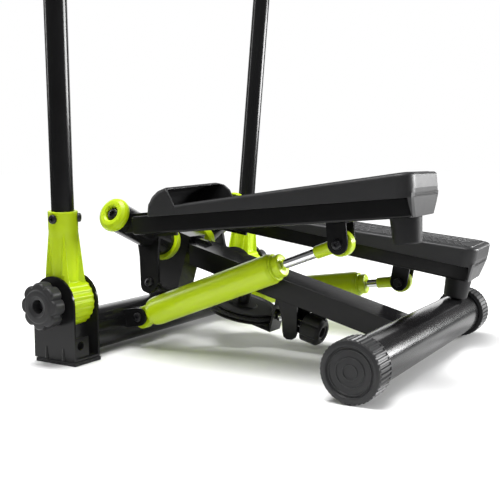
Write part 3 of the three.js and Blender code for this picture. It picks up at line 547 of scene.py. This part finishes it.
def even_shading(o, keep_sharp):
    """Large faces shade flat and small ones blend between them."""
    even = o.modifiers.new("even", "WEIGHTED_NORMAL")
    even.mode, even.weight, even.keep_sharp = "FACE_AREA", 50, keep_sharp


def piece(name, shape, node, sharp=CRISP, mirrored=False):
    """A finished piece that stands for one CAD node, rides on its body and takes its material."""
    o = bpy.data.objects.new(name, to_mesh(name, shape, mirrored, sharp))
    scene.collection.objects.link(o)
    slot = NODE_SLOT[node]
    o.data.materials.append(MAT[slot])
    if sharp < REMESHED:
        even_shading(o, True)
    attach(o, NODE_BODY[node])
    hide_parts(node)
    return o


def dress_cad():
    """The CAD nodes that stay: flat faces joined, rims rounded by modifiers, finish by slot."""
    for name, o in frame["nodes"].items():
        if o.hide_render:
            continue
        for a in ("custom_normal", "sharp_edge", "sharp_face"):
            if a in o.data.attributes:
                o.data.attributes.remove(o.data.attributes[a])
        o.data.polygons.foreach_set("use_smooth", [True] * len(o.data.polygons))
        o.data.materials.clear()
        o.data.materials.append(MAT[NODE_SLOT[name]])
        weld = o.modifiers.new("weld", "WELD")
        weld.merge_threshold = WELD
        plane = o.modifiers.new("flat", "DECIMATE")
        plane.decimate_type, plane.angle_limit = "DISSOLVE", radians(FLAT_WITHIN)
        rim = o.modifiers.new("rim", "BEVEL")
        rim.width, rim.segments, rim.limit_method, rim.angle_limit = RIM_WIDE, 3, "ANGLE", radians(RIM_FROM)
        rim.use_clamp_overlap = True
        rim.miter_outer = "MITER_ARC"
        even_shading(o, False)


# ------------------------------------------------------------------ turned and lobed parts
def button_head(r, long, head_r, head_long, key_r=None, nut_from=0.0):
    """Bolt: domed head with a hexagon socket at the start, shank running towards +Z, optional hexagon nut."""
    n = 72
    key = key_r or head_r * 0.42
    profile = [(key, -head_long * 0.35), (key, -head_long + 0.35), (key + 0.3, -head_long),
               (head_r * 0.72, -head_long), (head_r * 0.9, -head_long * 0.82), (head_r, -head_long * 0.5),
               (head_r, -0.3), (head_r - 0.3, 0)]

    def hexed(t, rr):
        if rr > key + 0.31:
            return rr
        a = (t % (pi / 3)) - pi / 6
        return rr * cos(pi / 6) / cos(a) * SOCKET_HEX_OVER
    angles = [2 * pi * i / n for i in range(n)]
    head = skin([[(hexed(t, rr) * cos(t), hexed(t, rr) * sin(t), z) for t in angles] for rr, z in profile])
    shank = lathe([(0, -0.5), (r, -0.5), (r, long - 0.8), (r - 0.7, long), (0, long)], 40)
    out = head + shank
    if nut_from:
        out = out + hex_nut(r * 1.75, r * 1.4).moved(shift(0, 0, nut_from))
    return out


def hex_nut(r, thick):
    """Hexagon nut with chamfered corners."""
    rings = []
    n = 48
    hexagon = [r * cos(pi / 6) / cos(((2 * pi * i / n) % (pi / 3)) - pi / 6) for i in range(n)]
    flat = r * cos(pi / 6) * 1.01
    for cap, z in ((flat - 0.2, 0.0), (flat + 0.5, 0.25), (99, r * 0.16), (99, thick - r * 0.16),
                   (flat + 0.5, thick - 0.25), (flat - 0.2, thick)):
        rings.append([(min(h, cap) * cos(2 * pi * i / n), min(h, cap) * sin(2 * pi * i / n), z)
                      for i, h in enumerate(hexagon)])
    return skin(rings)


def end_cap():
    """Ribbed end cap with raised rings on its face."""
    def wave(t, r, z):
        if r < CAP_R - 2.2 or z > CAP_LONG - 2.6 or z < 0.4:
            return r
        dip = CAP_RIB_DEEP * (0.5 - 0.5 * max(-1, min(1, 1.9 * cos(CAP_RIBS * t))))
        fade = min(1, (CAP_LONG - 2.4 - z) / 1.6, (z - 0.3) / 1.0)
        return r - dip * max(fade, 0)
    face = CAP_LONG - 1.3
    rim = [(REAR_BAR_R + GAP, 0), (CAP_R - 0.6, 0), (CAP_R, 0.6)]
    rim += [(CAP_R, z) for z in (1.6, 4, 10, 16, 22, 27, 29.8)]
    rim += rounded([(CAP_R, 31), (CAP_R - 1.3, CAP_LONG - 1.0), (CAP_R - 5.0, CAP_LONG), (28.6, CAP_LONG),
                    (27.2, face - 1.0), (26.2, face - 1.0), (25.4, face), (24.6, face), (24.0, face - 1.1),
                    (17.6, face - 1.1), (17.1, face), (16.1, face), (15.6, face - 1.1), (9.4, face - 1.1),
                    (8.9, face), (7.9, face), (7.4, face - 1.3), (0, face - 1.3)], 0.3, 3, closed=False)
    cap = lathe([(0, 26.8), (REAR_BAR_R + GAP, 26.8)] + rim, 480, wave)
    return cap.moved(frame_along((CAP_OUT - CAP_LONG, 0, REAR_BAR_Z), *ACROSS))


def lobed(profile, lobes, depth, n=288):
    """Knob: each profile point is (radius, height, how much of the lobes it takes)."""
    shares = {point[:2]: point[2] for point in profile}

    def wave(t, r, z):
        return r - depth * shares[r, z] * (1 - abs(cos(lobes * t / 2))) ** 1.6
    return lathe([point[:2] for point in profile], n, wave)


def clamp_knob():
    """Eight-lobed knob with a recess in its face."""
    z = CLAMP_KNOB_LONG
    profile = [(0, 0.4, 0), (13.5, 0.4, 0), (14.2, 1.0, 0), (15.4, 6.0, 0), (25, 6.2, 0.7), (28.6, 7.0, 0.9),
               (30.4, 8.6, 1), (31, 11, 1), (31, z - 4.0, 1), (30.5, z - 1.8, 1), (29.4, z - 0.5, 0.95),
               (28.0, z, 0.85), (24.6, z, 0.4), (23.0, z - 0.1, 0.1), (22.0, z + 0.3, 0), (21.2, z + 1.4, 0),
               (20.0, z + 2.0, 0), (14.6, z + 2.0, 0), (13.8, z + 1.6, 0), (13.0, z + 0.6, 0),
               (9.8, z + 0.4, 0), (9.0, z - 0.4, 0), (8.8, z - 12, 0), (0, z - 12, 0)]
    body = lobed(profile, CLAMP_LOBES, CLAMP_LOBE_DEEP)
    return body.moved(frame_along((PLATE_OUT + 1, HUB_Y, HUB_Z), *ACROSS))


def adjuster_knob():
    """Six-lobed knob on the adjuster's screw."""
    profile = [(0, 0.2, 0), (18.8, 0.2, 0.6), (20.4, 1.2, 1), (20.8, 2.6, 1), (20.8, 23.4, 1),
               (20.3, 25.2, 1), (19.1, 26.4, 0.7), (17.8, 26.9, 0.2), (16.2, 28.6, 0), (15.2, 29.4, 0),
               (12.6, 29.5, 0), (11.4, 29.0, 0), (11.0, 27.6, 0), (8.2, 27.4, 0), (7.2, 26.6, 0),
               (7.0, 21, 0), (0, 21, 0)]
    knob = lobed(profile, ADJUSTER_LOBES, ADJUSTER_LOBE_DEEP, 216)
    return knob.moved(frame_along(screw_point(165.4), -SCREW_DIR))


def socket():
    """Lime socket: ridged hub barrel, tapering stem with four fins and the collar round the post."""
    def wave(t, r, z):
        if r < HUB_R - 2:
            return r
        return r - HUB_RIDGE_DEEP * (0.5 - 0.5 * max(-1, min(1, 1.7 * cos(HUB_RIDGES * t))))
    barrel = lathe([(0, -HUB_HALF), (HUB_R - 1.2, -HUB_HALF), (HUB_R - 0.2, -HUB_HALF + 1),
                    (HUB_R, -HUB_HALF + 1.6)] + [(HUB_R, z) for z in (-14, -7, 0, 7, 14)] +
                   [(HUB_R, HUB_HALF - 1.6), (HUB_R - 0.2, HUB_HALF - 1), (HUB_R - 1.2, HUB_HALF),
                    (0, HUB_HALF)], 240, wave)
    barrel = barrel.moved(frame_along((HUB_X, HUB_Y, HUB_Z), *ACROSS))
    stem = turned([(0, 6), (17.6, 6), (18.4, 88), (COLLAR_R, 98), (COLLAR_R, COLLAR_AT), (0, COLLAR_AT)],
                  [0, 0, 6, 3, 1.0, 0], 5, 120).moved(POST_FRAME)

    def fin(bearing):
        levels = ((FIN_REACH + 1, 5.2, 22), (FIN_REACH, 4.4, 36), (COLLAR_R - 0.6, 0.7, 98))
        rings = [[(8, -w, z), (reach, -w, z), (reach, w, z), (8, w, z)] for reach, w, z in levels]
        return skin(rings).moved(POST_FRAME @ turn("Z", bearing))
    fins = fin(45) + fin(135) + fin(225) + fin(315)
    bore = lathe([(0, POST_START), (POST_R + 0.1, POST_START), (POST_R + 0.1, 200), (0, 200)], 96)
    top = HUB_Z + PLATE_HALF + 1.2
    beside = [rounded_box(40, 160, 160, HUB_X + s * (HUB_HALF + 20.2), HUB_Y, top - 80, 0.4) for s in (-1, 1)]
    return moulded(barrel + stem + fins, [bore.moved(POST_FRAME)] + beside, voxel=0.75, smooth=2)


def cylinder_body():
    """Cylinder tube with its mouth, and the base eye on its neck."""
    tube = turned([(0, BODY_FROM - 2), (9, BODY_FROM - 2), (15.5, BODY_FROM + 1), (19, BODY_FROM + 5),
                   (BODY_R, BODY_FROM + 11), (BODY_R, BODY_TO - 5), (BODY_R - 1.6, BODY_TO - 1.0),
                   (BODY_R - 2.4, BODY_TO), (15.8, BODY_TO), (15.8, BODY_TO - 6), (0, BODY_TO - 6)],
                  [0, 2, 3, 4, 8, 3, 1, 0.5, 0.4, 0, 0], 5, 128)
    eye = turned([(0, -6.5), (14.5, -6.5), (14.5, 6.5), (0, 6.5)], [0, 1.4, 1.4, 0], 4, 96)
    return tube + eye.moved(shift(0, -3) @ turn("Y", 90)) + rounded_box(13, 26, 22, 0, 0, 11, 2.2)


def cylinder_gland():
    """Stepped collar in the cylinder's mouth, bored for the rod."""
    r, z, top = ROD_R + 0.1, BODY_TO, GLAND_TO
    return lathe([(r, z - 12), (15.6, z - 12), (15.6, z + 0.1), (17.3, z + 0.3), (17.8, z + 0.6),
                  (18, z + 1.1), (18, z + 1.9), (17.8, z + 2.4), (17.2, z + 2.8), (15.6, z + 3.1),
                  (15.2, z + 3.6), (15.2, top - 2.2), (14.9, top - 1.1), (14.2, top - 0.4), (13.2, top),
                  (7.8, top), (7.4, top - 0.3), (7.2, top - 1.0), (r, top - 1.1)], 112)


def rod_eye(long):
    """Lime eye and its socket on the rod's end. long is the distance between the cylinder's two eyes."""
    ring = lathe(rounded([(5.5, -7.5), (16, -7.5), (16, 7.5), (5.5, 7.5)], [0.7, 2.4, 2.4, 0.7], 5), 96)
    ring = ring.moved(shift(0, 0, long) @ turn("Y", 90))
    stem = lathe([(0, long - 36.2), (7.0, long - 37), (7.8, long - 36.5), (8.1, long - 35.4),
                  (8.3, long - 18), (9.2, long - 13), (9.4, long - 8), (0, long - 8)], 80)
    return ring + stem


def bush(start, out, dish, r, taper):
    """Lime flanged bush: a sleeve inside the tube and a dished rim outside it."""
    p = [(AXLE_R + 0.2, -14), (SLEEVE_BORE - GAP, -14), (SLEEVE_BORE - GAP, GAP), (r - 0.3, GAP),
         (r, 1.2), (r, 5), (r - taper / 4, 8.6), (r - taper, BUSH_LONG), (12.2, BUSH_LONG),
         (9.8, BUSH_LONG - 2), (9.6, dish), (AXLE_R + 0.2, dish)]
    q = rounded(p, [0, 0.3, 0.1, 0.3, 0.8, 1.6, 3.5, 2.0, 1.2, 1.0, 0.3, 0], 5)
    return lathe([(x, start + out * z) for x, z in q], 112)


def pulley():
    """Grooved wheel, thinner between its hub and its rim."""
    half = [(PULLEY_R - 5, 3.0), (PULLEY_R, 5.6), (PULLEY_R, 7.5), (46, 7.5), (44, 5.6), (22, 5.6), (20, 7.5),
            (5, 7.5)]
    return lathe(rounded([(r, -z) for r, z in half[::-1]] + half, 0.7, 3), 160).moved(PULLEY_FRAME)


# ------------------------------------------------------------------ pedal parts, in pedal coordinates
def top_at(y):
    """Height of the deck, which falls towards the toe."""
    return HEEL_TOP + (TOE_TOP - HEEL_TOP) * (y - DECK_HEEL) / (DECK_TOE - DECK_HEEL)


def footplate():
    """Plastic deck with its skirt, seam and rolled edge, and the tread pattern on top."""
    outline = rounded_rect(DECK_HALF, DECK_HEEL, DECK_TOE, 18, 6, 10)
    low, roll = SKIRT_LOW, 4.2

    def ring(d, z):
        return [(x, max(y, heel_at(z(y))), z(y)) for x, y in inset(outline, d)]
    rings = [ring(SKIN, lambda y: top_at(y) - SKIN), ring(SKIN, lambda y: low + 0.4),
             ring(SKIN - 0.4, lambda y: low), ring(0.7, lambda y: low), ring(0.2, lambda y: low + 0.2),
             ring(0, lambda y: low + 0.8), ring(0, lambda y: min(HEEL_SEAM - 0.4, top_at(y) - roll - 0.4)),
             ring(0, lambda y: min(HEEL_SEAM + 0.2, top_at(y) - roll - 0.2)),
             ring(0, lambda y: top_at(y) - roll)]
    for k in range(1, 7):
        t = (pi / 2) * k / 6
        rings.append(ring(roll * (1 - cos(t)), lambda y, t=t: top_at(y) - roll + roll * sin(t)))
    tilt = atan((TOE_TOP - HEEL_TOP) / (DECK_TOE - DECK_HEEL))
    return skin(rings) + tread().moved(shift(0, 0, top_at(0)) @ turn("X", tilt * 180 / pi))


def tread():
    """Chevrons at the heel, waves further on and a low raised border round both."""
    half = TREAD_HALF
    out = Shape([], [])
    for i in range(CHEVRONS):
        y = -6 + i * CHEVRON_STEP
        line = [(-half, y), (0, y + CHEVRON_RISE), (half, y)]
        line += [(x, w + CHEVRON_WIDE) for x, w in line[::-1]]
        out = out + slab(rounded(line, 0.6, 2), TREAD_SINK, TREAD_RISE, 0.6, 3)
    for i in range(WAVES):
        y = WAVE_FROM + i * WAVE_STEP
        line = [(x, y + WAVE_DEEP * sin(x / 5.2)) for x in range(-half, half + 1, 2)]
        line += [(x, w + WAVE_WIDE) for x, w in line[::-1]]
        out = out + slab(line, TREAD_SINK, TREAD_RISE, 0.5, 3)
    border = rounded_rect(52, DECK_HEEL + 8, 282, 12, 4, 8)
    steps = ((0, -0.4), (0.7, 0.9), (2.1, 0.9), (2.8, -0.4))
    return out + skin([[(x, y, h) for x, y in inset(border, d)] for d, h in steps], loop=True)


def heel_at(z):
    """How far back the heel reaches: it is drawn in below its seam."""
    return DECK_HEEL + HEEL_DRAW * max(HEEL_SEAM - z, 0)


def heel_band():
    """The lower half of the heel behind the arm's end, drawn in towards the floor."""
    end = ARM_HEEL - 0.3
    levels = [(41.6, 98.5), (42.4, 99.2), (49.7, 110.4), (50.6, 111.8), (54.8, 120.6), (55, 121.6), (55, 126)]

    def ring(half, z):
        back = heel_at(z)
        line = [(half, end), (half - 0.5, back + 1.2), (half - 8, back),
                (-half + 8, back), (-half + 0.5, back + 1.2), (-half, end)]
        return [(x, y, z) for x, y in rounded(line, [0, 1.5, 7, 7, 1.5, 0], 5)]
    return skin([ring(half, z) for half, z in levels])


def toe_hood():
    """Curved toe cup, open towards the heel; its rim runs further back on the inner side."""
    def section(x, grow, low, back):
        line = rounded([(DECK_TOE, low), (DECK_TOE, 126), (331.5, 138), (325, 148), (315, 155), (303, 158.3),
                        (292, 159.4), (270, 161.5), (back, 163.6), (back, low)],
                       [0, 8, 14, 14, 14, 14, 14, 10, 0, 0], 5)
        lift = 1.5 * (-x / DECK_HALF)
        return [(x, y - (grow if y > 250 else 0), z + (lift if z > 140 else 0) - (grow if z > 126 else 0))
                for y, z in line]

    def shell(grow, edge, low, back):
        half = DECK_HALF + 0.12 - grow
        arc = [(pi / 2) * k / 6 for k in range(7)]

        def at(side, t):
            return section(side * (half - edge * (1 - cos(t))), grow + edge * (1 - sin(t)), low, back)
        return skin([at(-1, t) for t in arc] + [at(1, t) for t in arc[::-1]])

    def mouth(x, points, radii):
        return [(x, y, w) for y, w in rounded(points, radii, 6)]
    near = [(190, 110), (291, 110), (291, 134), (296, 146), (299, 152), (303.5, 160), (309, 167),
            (309, 174), (190, 174)]
    far = [(190, 110), (268, 110), (268.5, 136), (273, 149), (282, 157), (296, 161.8), (312, 164),
           (312, 174), (190, 174)]
    opening = skin([mouth(DECK_HALF + 6, near, [0, 0, 6, 8, 8, 6, 0, 0, 0]),
                    mouth(-DECK_HALF - 6, far, [0, 0, 8, 12, 12, 12, 0, 0, 0])])
    inside = shell(3, 4.0, SKIRT_LOW - 12, 240)
    cup = moulded(shell(0, 5.0, SKIRT_LOW, 246), [inside, opening], voxel=1.0, smooth=3)
    # beside the deck the side walls are drawn in a little, so that they end inside it
    for v in cup.verts:
        if v.z < top_at(v.y) - 1:
            v.x *= 1 - 0.015 * min(max((290 - v.y) / 12, 0), 1)
    return cup


def pedal_arm():
    """Flat box arm and the saddles that sit over the pivot sleeve."""
    outline = rounded([(ARM_HEEL, ARM_LOW), (ARM_FRONT, ARM_LOW), (ARM_FRONT, ARM_LOW + ARM_HIGH),
                       (ARM_HEEL, ARM_LOW + ARM_HIGH)], [4, 4, 4, 11], 6)
    across = Matrix(((0, 0, 1, 0), (1, 0, 0, 0), (0, 1, 0, 0), (0, 0, 0, 1)))
    out = slab(outline, -ARM_HALF, ARM_HALF, 3.0, 5).moved(across)
    for x, drop, lift in ((-25, 7, -3), (0, 2, -3), (25, -3, 4)):
        middle = ARM_LOW + ARM_HIGH / 2 + (lift - drop) / 2
        out = out + rounded_box(5, 60, ARM_HIGH + drop + lift, x, ARM_FRONT + 2, middle, 0.8)
    return out


def rod_clevis():
    """Two ears under the arm on a common plate."""
    arc = [pi + pi * k / 20 for k in range(21)]
    ear_line = [(CLEVIS_R * cos(t), CLEVIS_R * sin(t)) for t in arc]
    ear_line += [(CLEVIS_R, CLEVIS_TOP), (-CLEVIS_R, CLEVIS_TOP)]
    turn_ear = turn("Z", 90) @ turn("X", 90)
    ear = holed_slab(ear_line, CLEVIS_BORE, 0, CLEVIS_THICK)
    out = ear.moved(shift(11) @ turn_ear) + ear.moved(shift(-11 - CLEVIS_THICK) @ turn_ear)
    out = out + rounded_box(29, 2 * CLEVIS_R, CLEVIS_THICK, 0, 0, 26.4, 0.8)
    return out.moved(Matrix.Translation(EYE))


def rod(a, b, r, n=64, edge=0.6):
    """Round bar from a to b with rounded rims."""
    along = Vector(b) - Vector(a)
    long = along.length
    bar = lathe([(0, 0), (r - edge, 0), (r - 0.3 * edge, 0.3 * edge), (r, edge), (r, long - edge),
                 (r - 0.3 * edge, long - 0.3 * edge), (r - edge, long), (0, long)], n)
    return bar.moved(frame_along(a, along, (0, 0, 1)))


# ------------------------------------------------------------------ build both sides
def hand_post():
    """Tube with rims just rounded off."""
    return lathe(rounded([(POST_R - 2, POST_START + 1), (POST_R, POST_START + 1), (POST_R, POST_END),
                          (POST_R - 2, POST_END)], 0.4, 2), 96).moved(POST_FRAME)


def hand_grip():
    """Foam sleeve, a little swollen at both ends and closed over the post's top."""
    r, top = GRIP_R, GRIP_TO
    return turned([(POST_R + 0.2, GRIP_FROM), (r - 0.6, GRIP_FROM), (r + 0.6, GRIP_FROM + 6),
                   (r + 0.4, (GRIP_FROM + top) / 2), (r + 0.8, top - 12), (r - 1.6, top - 2.5), (r - 6, top),
                   (0, top), (0, POST_END + 1), (POST_R + 0.2, POST_END + 1)],
                  [0.5, 1.5, 3, 20, 6, 4, 4, 0, 0, 0], 5, 96).moved(POST_FRAME)


def collar_screw(bearing):
    seat = turn("Z", bearing) @ frame_along((COLLAR_R + 0.1, 0, COLLAR_AT - 9), (-1, 0, 0), (0, 0, 1))
    return button_head(3, 8, 6, 4).moved(POST_FRAME @ seat)


def hub_bolt():
    """Threaded rod through bracket and socket, with a nut on the inside and one in the knob's recess."""
    def nut(r, thick, x):
        return hex_nut(r, thick).moved(frame_along((x, HUB_Y, HUB_Z), (1, 0, 0)))
    shank = rod((PLATE_IN - 5, HUB_Y, HUB_Z), (PLATE_OUT + 16, HUB_Y, HUB_Z), 5, 48)
    return shank + nut(8.5, 6, PLATE_IN - 6.3) + nut(7.6, 5, PLATE_OUT + 13.5)


def heel_bumper():
    return turned([(0, -31.3), (15.2, -31.3), (17, -29.8), (18.6, -6), (19, -GAP), (0, -GAP)],
                  [0, 1.5, 2, 6, 0.3, 0], 5, 96)


def rope_anchor():
    """Screw through the lever's end with the grooved bobbin that holds the rope, and its nut."""
    screw = button_head(SCREW_R, 20, *SCREW_HEAD)
    screw = screw.moved(frame_along((LEVER_LONG, 0, LEVER_AT + 5.1), (0, 0, -1)))
    bobbin = lathe(rounded([(3.5, -13.5), (7.5, -13.5), (7.5, -11.2), (5.6, -9.8), (5.6, -5.2),
                            (7.5, -3.8), (7.5, -1.5), (3.5, -1.5)], 0.5, 3), 64)
    return (screw + bobbin.moved(shift(LEVER_LONG, 0, LEVER_AT)) +
            hex_nut(7, 4).moved(shift(LEVER_LONG, 0, LEVER_AT - 17.9)))


def cut_arm():
    """The pedal arm, less the space of the pivot sleeve and of its outer bush."""
    to_pedal = LOW_POSE.inverted()
    bush_space = rod(pivot_point(SLEEVE_TO - 1), pivot_point(210), BUSH_R + 1, 96, 0.01).moved(to_pedal)
    sleeve_space = rod(pivot_point(-80), pivot_point(SLEEVE_TO + 4), SLEEVE_R - 1.5, 96, 0.01)
    return boolean_cut(pedal_arm(), [bush_space, sleeve_space.moved(to_pedal)])


def build_sides():
    """Right side with its pedal down, left side with its pedal up, from the same parts."""
    cap, knob, stem = end_cap(), clamp_knob(), socket()
    deck, hood = footplate() + heel_band(), toe_hood()
    arm = cut_arm() + rod_clevis()
    for side, lift in (("right", 0.0), ("left", SWING)):
        pedal = raised(lift) @ LOW_POSE
        sleeve = raised(lift) @ PIVOT_FRAME

        def put(name, shape, sharp=CRISP, node=None):
            piece(f"{side}_{name}_made", shape, f"{side}_{node or name}", sharp, side == "left")
        put("end_cap", cap)
        put("clamp_knob", knob, SOFT)
        put("post_socket", stem, REMESHED)
        put("hand_post", hand_post())
        put("hand_grip", hand_grip())
        put("collar_screw_1", collar_screw(-5))
        put("collar_screw_2", collar_screw(-125))
        put("hub_bolt", hub_bolt())
        axle = button_head(AXLE_R, 160, 8.7, 5, 4.2)
        put("pedal_axle", axle.moved(frame_along(pivot_point(126.3), -AXIS_OUT)))
        in_ears = frame_along(BASE_EYE + V(12.5, 0, 0), (-1, 0, 0))
        put("cylinder_base_bolt", button_head(SCREW_R, 28, *SCREW_HEAD, nut_from=25).moved(in_ears))
        # what treads
        put("footplate", deck.moved(pedal), DECK_EDGE)
        put("toe_hood", hood.moved(pedal), REMESHED, "footplate")
        put("pedal_arm", arm.moved(pedal), ARM_EDGE)
        put("heel_bumper", heel_bumper().moved(pedal @ shift(0, 5.75, ARM_LOW)))
        in_clevis = pedal @ Matrix.Translation(EYE) @ frame_along((14.6, 0, 0), (-1, 0, 0))
        put("rod_clevis_bolt", button_head(SCREW_R, 33, *SCREW_HEAD, nut_from=30).moved(in_clevis))
        put("outer_bush", bush(SLEEVE_TO, 1, 4, BUSH_R, 6).moved(sleeve))
        put("inner_bush", bush(SLEEVE_FROM, -1, 9, INNER_BUSH_R, 2).moved(sleeve))
        put("rope_anchor", rope_anchor().moved(sleeve @ turn("Z", LEVER_TURN)))
        # what follows between the crossbar and the pedal
        reach = pedal @ EYE - BASE_EYE
        long = reach.length
        along = frame_along(BASE_EYE, reach)
        put("cylinder_body", cylinder_body().moved(along))
        put("cylinder_gland", cylinder_gland().moved(along))
        put("piston_rod", rod((0, 0, long - 140), (0, 0, long - 23), ROD_R, 72).moved(along))
        put("rod_eye", rod_eye(long).moved(along))


# ------------------------------------------------------------------ rope, pulley and adjuster
def anchor_point(lift):
    """Where the rope leaves the lever, in the middle of the bobbin."""
    return raised(lift) @ PIVOT_FRAME @ turn("Z", LEVER_TURN) @ V(LEVER_LONG, 0, LEVER_AT - 7.5)


def rope_line():
    """Points from the right lever round the pulley to the left lever, in the middle of the rope."""
    right_end, left_end = anchor_point(0), MIRROR @ anchor_point(SWING)
    groove, bobbin = PULLEY_R - 1.6, 9.0
    bearings = [radians(12 - i * 204 / 60) for i in range(61)]
    arc = [PULLEY_FRAME @ V(groove * cos(a), groove * sin(a), 0) for a in bearings]

    def start(a, b):
        return a + (b - a).normalized() * bobbin
    return [start(right_end, arc[0])] + arc + [start(left_end, arc[-1])]


def build_rope():
    """Braided rope in two halves, each tied to its lever at one end and to the base round the pulley."""
    line = rope_line()
    dense = []
    for a, b in zip(line, line[1:]):
        n = max(1, int((b - a).length / ROPE_STEP))
        dense += [a.lerp(b, k / n) for k in range(n)]
    dense.append(line[-1])
    half = len(dense) // 2
    pulley_up = V(0, -sin(radians(BEAM_SLOPE)), cos(radians(BEAM_SLOPE)))
    rings, run = [], 0.0
    for i, p in enumerate(dense):
        before, after = dense[max(i - 1, 0)], dense[min(i + 1, len(dense) - 1)]
        if i:
            run += (p - dense[i - 1]).length
        f = frame_along(p, after - before, pulley_up)
        ring = []
        for k in range(32):
            t = 2 * pi * k / 32
            strand = max(sin(4 * t + run * ROPE_TWIST), sin(4 * t - run * ROPE_TWIST))
            r = ROPE_R + ROPE_RELIEF * strand
            ring.append(f @ V(r * cos(t), r * sin(t), 0))
        rings.append(ring)
    for side, part, start, end in (("right", rings[:half + 1], line[0], line[1]),
                                   ("left", rings[half:], line[-1], line[-2])):
        name = f"{side}_rope_half"
        o = bpy.data.objects.new(name, to_mesh(name, skin(part), sharp=REMESHED))
        scene.collection.objects.link(o)
        o.data.materials.append(MAT["rope"])
        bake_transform(o)
        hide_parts("rope")


def adjuster_screw():
    """Threaded rod with its lock nut behind the carriage."""
    thread = [(0, 0)]
    crest = THREAD_R + THREAD_DEEP
    z = 0.4
    while z < 70:
        thread += [(THREAD_R, z), (crest, z + 0.5), (crest, z + 0.65), (THREAD_R, z + 1.15)]
        z += THREAD_PITCH
    thread += [(4.0, 70.6), (0, 71)]
    return (lathe(thread, 48).moved(frame_along(screw_point(145), SCREW_DIR)) +
            hex_nut(8, 5).moved(frame_along(screw_point(203.4), SCREW_DIR)))


def build_middle():
    piece("rope_pulley_made", pulley(), "rope_pulley")
    spacer = lathe(rounded([(4, 8.2), (9, 8.2), (9, 34.7), (4, 34.7)], 0.5, 3), 64)
    bolt = button_head(4.8, 52.6, 8, 5).moved(shift(0, 0, -14.9)) + spacer
    piece("pulley_axle_bolt_made", bolt.moved(PULLEY_FRAME), "pulley_axle_bolt")
    piece("adjuster_knob_made", adjuster_knob(), "adjuster_knob", SOFT)
    piece("adjuster_screw_made", adjuster_screw(), "adjuster_screw")
    build_rope()


build_sides()
build_middle()
dress_cad()

# ------------------------------------------------------------------ stage and light
# distances from the middle of the row frame, in metres, over which the paper starts to glow and turns dark
GLOW_SPAN, DARK_SPAN = (0.35, 0.95), (0.45, 1.15)
FAR_TONE = 0.12
WHITE = (1, 1, 1, 1)
PAPER_HALF, PAPER_DROP = 30, 0.0004
WORLD_SOFT, WORLD_SEEN = 0.2, 1.0
# name, place, target, size across and up, power in watts
LIGHTS = (
    ("overhead", (-0.4, 0.2, 2.6), (0, 0, 0.1), (1.6, 1.2), 94),
    ("heel_side", (1.9, -1.8, 0.6), (0, -0.1, 0.1), (1.3, 0.6), 86),
    ("toe_side", (-1.0, 2.7, 1.2), (-0.1, 0.1, 0.2), (0.4, 1.6), 17),
    ("backdrop", (2.4, 1.5, 0.9), (0, 0, 0.1), (3.2, 1.6), 28),
    ("front", (-2.2, -1.0, 2.1), (0, 0, 0.12), (0.7, 0.7), 9),
)


def add_stage():
    """Paper that looks plain white further off. Its glow is seen by the camera alone and lights nothing."""
    mesh = bpy.data.meshes.new("floor")
    h = PAPER_HALF
    mesh.from_pydata([(-h, -h, 0), (h, -h, 0), (h, h, 0), (-h, h, 0)], [], [(0, 1, 2, 3)])
    o = bpy.data.objects.new("floor", mesh)
    scene.collection.objects.link(o)
    o.location.z = -PAPER_DROP
    m = material("floor_paper", (0.93, 0.93, 0.93), (0.92, 0.92, 0.92), 0.85, grain=60, bump=0.02, spec=0.1,
                 blotch=2)
    nt = m.node_tree
    b = nt.nodes["Principled BSDF"]
    b.inputs["Emission Color"].default_value = WHITE
    where, span = nt.nodes.new("ShaderNodeTexCoord"), nt.nodes.new("ShaderNodeVectorMath")
    span.operation = "LENGTH"
    nt.links.new(where.outputs["Object"], span.inputs[0])
    distance = span.outputs["Value"]
    paper = b.inputs["Base Color"].links[0].from_socket
    dark = map_range(nt, distance, DARK_SPAN, smooth=True)
    nt.links.new(colour_mix(nt, dark, paper, [FAR_TONE] * 3), b.inputs["Base Color"])
    seen = nt.nodes.new("ShaderNodeLightPath").outputs["Is Camera Ray"]
    glow = combine(nt, "MULTIPLY", map_range(nt, distance, GLOW_SPAN, smooth=True), seen)
    nt.links.new(glow, b.inputs["Emission Strength"])
    mesh.materials.append(m)


def area(name, place, target, size, power):
    data = bpy.data.lights.new(name, "AREA")
    data.shape, data.size, data.size_y, data.energy = "RECTANGLE", size[0], size[1], power
    o = bpy.data.objects.new(name, data)
    scene.collection.objects.link(o)
    away = (Vector(target) - Vector(place)).normalized()
    o.matrix_world = Matrix.Translation(place) @ away.to_track_quat("-Z", "Y").to_matrix().to_4x4()


def add_world():
    """Soft light all round, plain white where the camera looks past the floor."""
    world = bpy.data.worlds.new("studio")
    scene.world = world
    world.use_nodes = True
    nt = world.node_tree
    nt.nodes.clear()
    mix = nt.nodes.new("ShaderNodeMixShader")
    nt.links.new(nt.nodes.new("ShaderNodeLightPath").outputs["Is Camera Ray"], mix.inputs["Fac"])
    for i, strength in ((1, WORLD_SOFT), (2, WORLD_SEEN)):
        sky = nt.nodes.new("ShaderNodeBackground")
        sky.inputs["Color"].default_value, sky.inputs["Strength"].default_value = WHITE, strength
        nt.links.new(sky.outputs[0], mix.inputs[i])
    nt.links.new(mix.outputs[0], nt.nodes.new("ShaderNodeOutputWorld").inputs["Surface"])


add_stage()
add_world()
for light in LIGHTS:
    area(*light)
scene.view_settings.view_transform = "Standard"
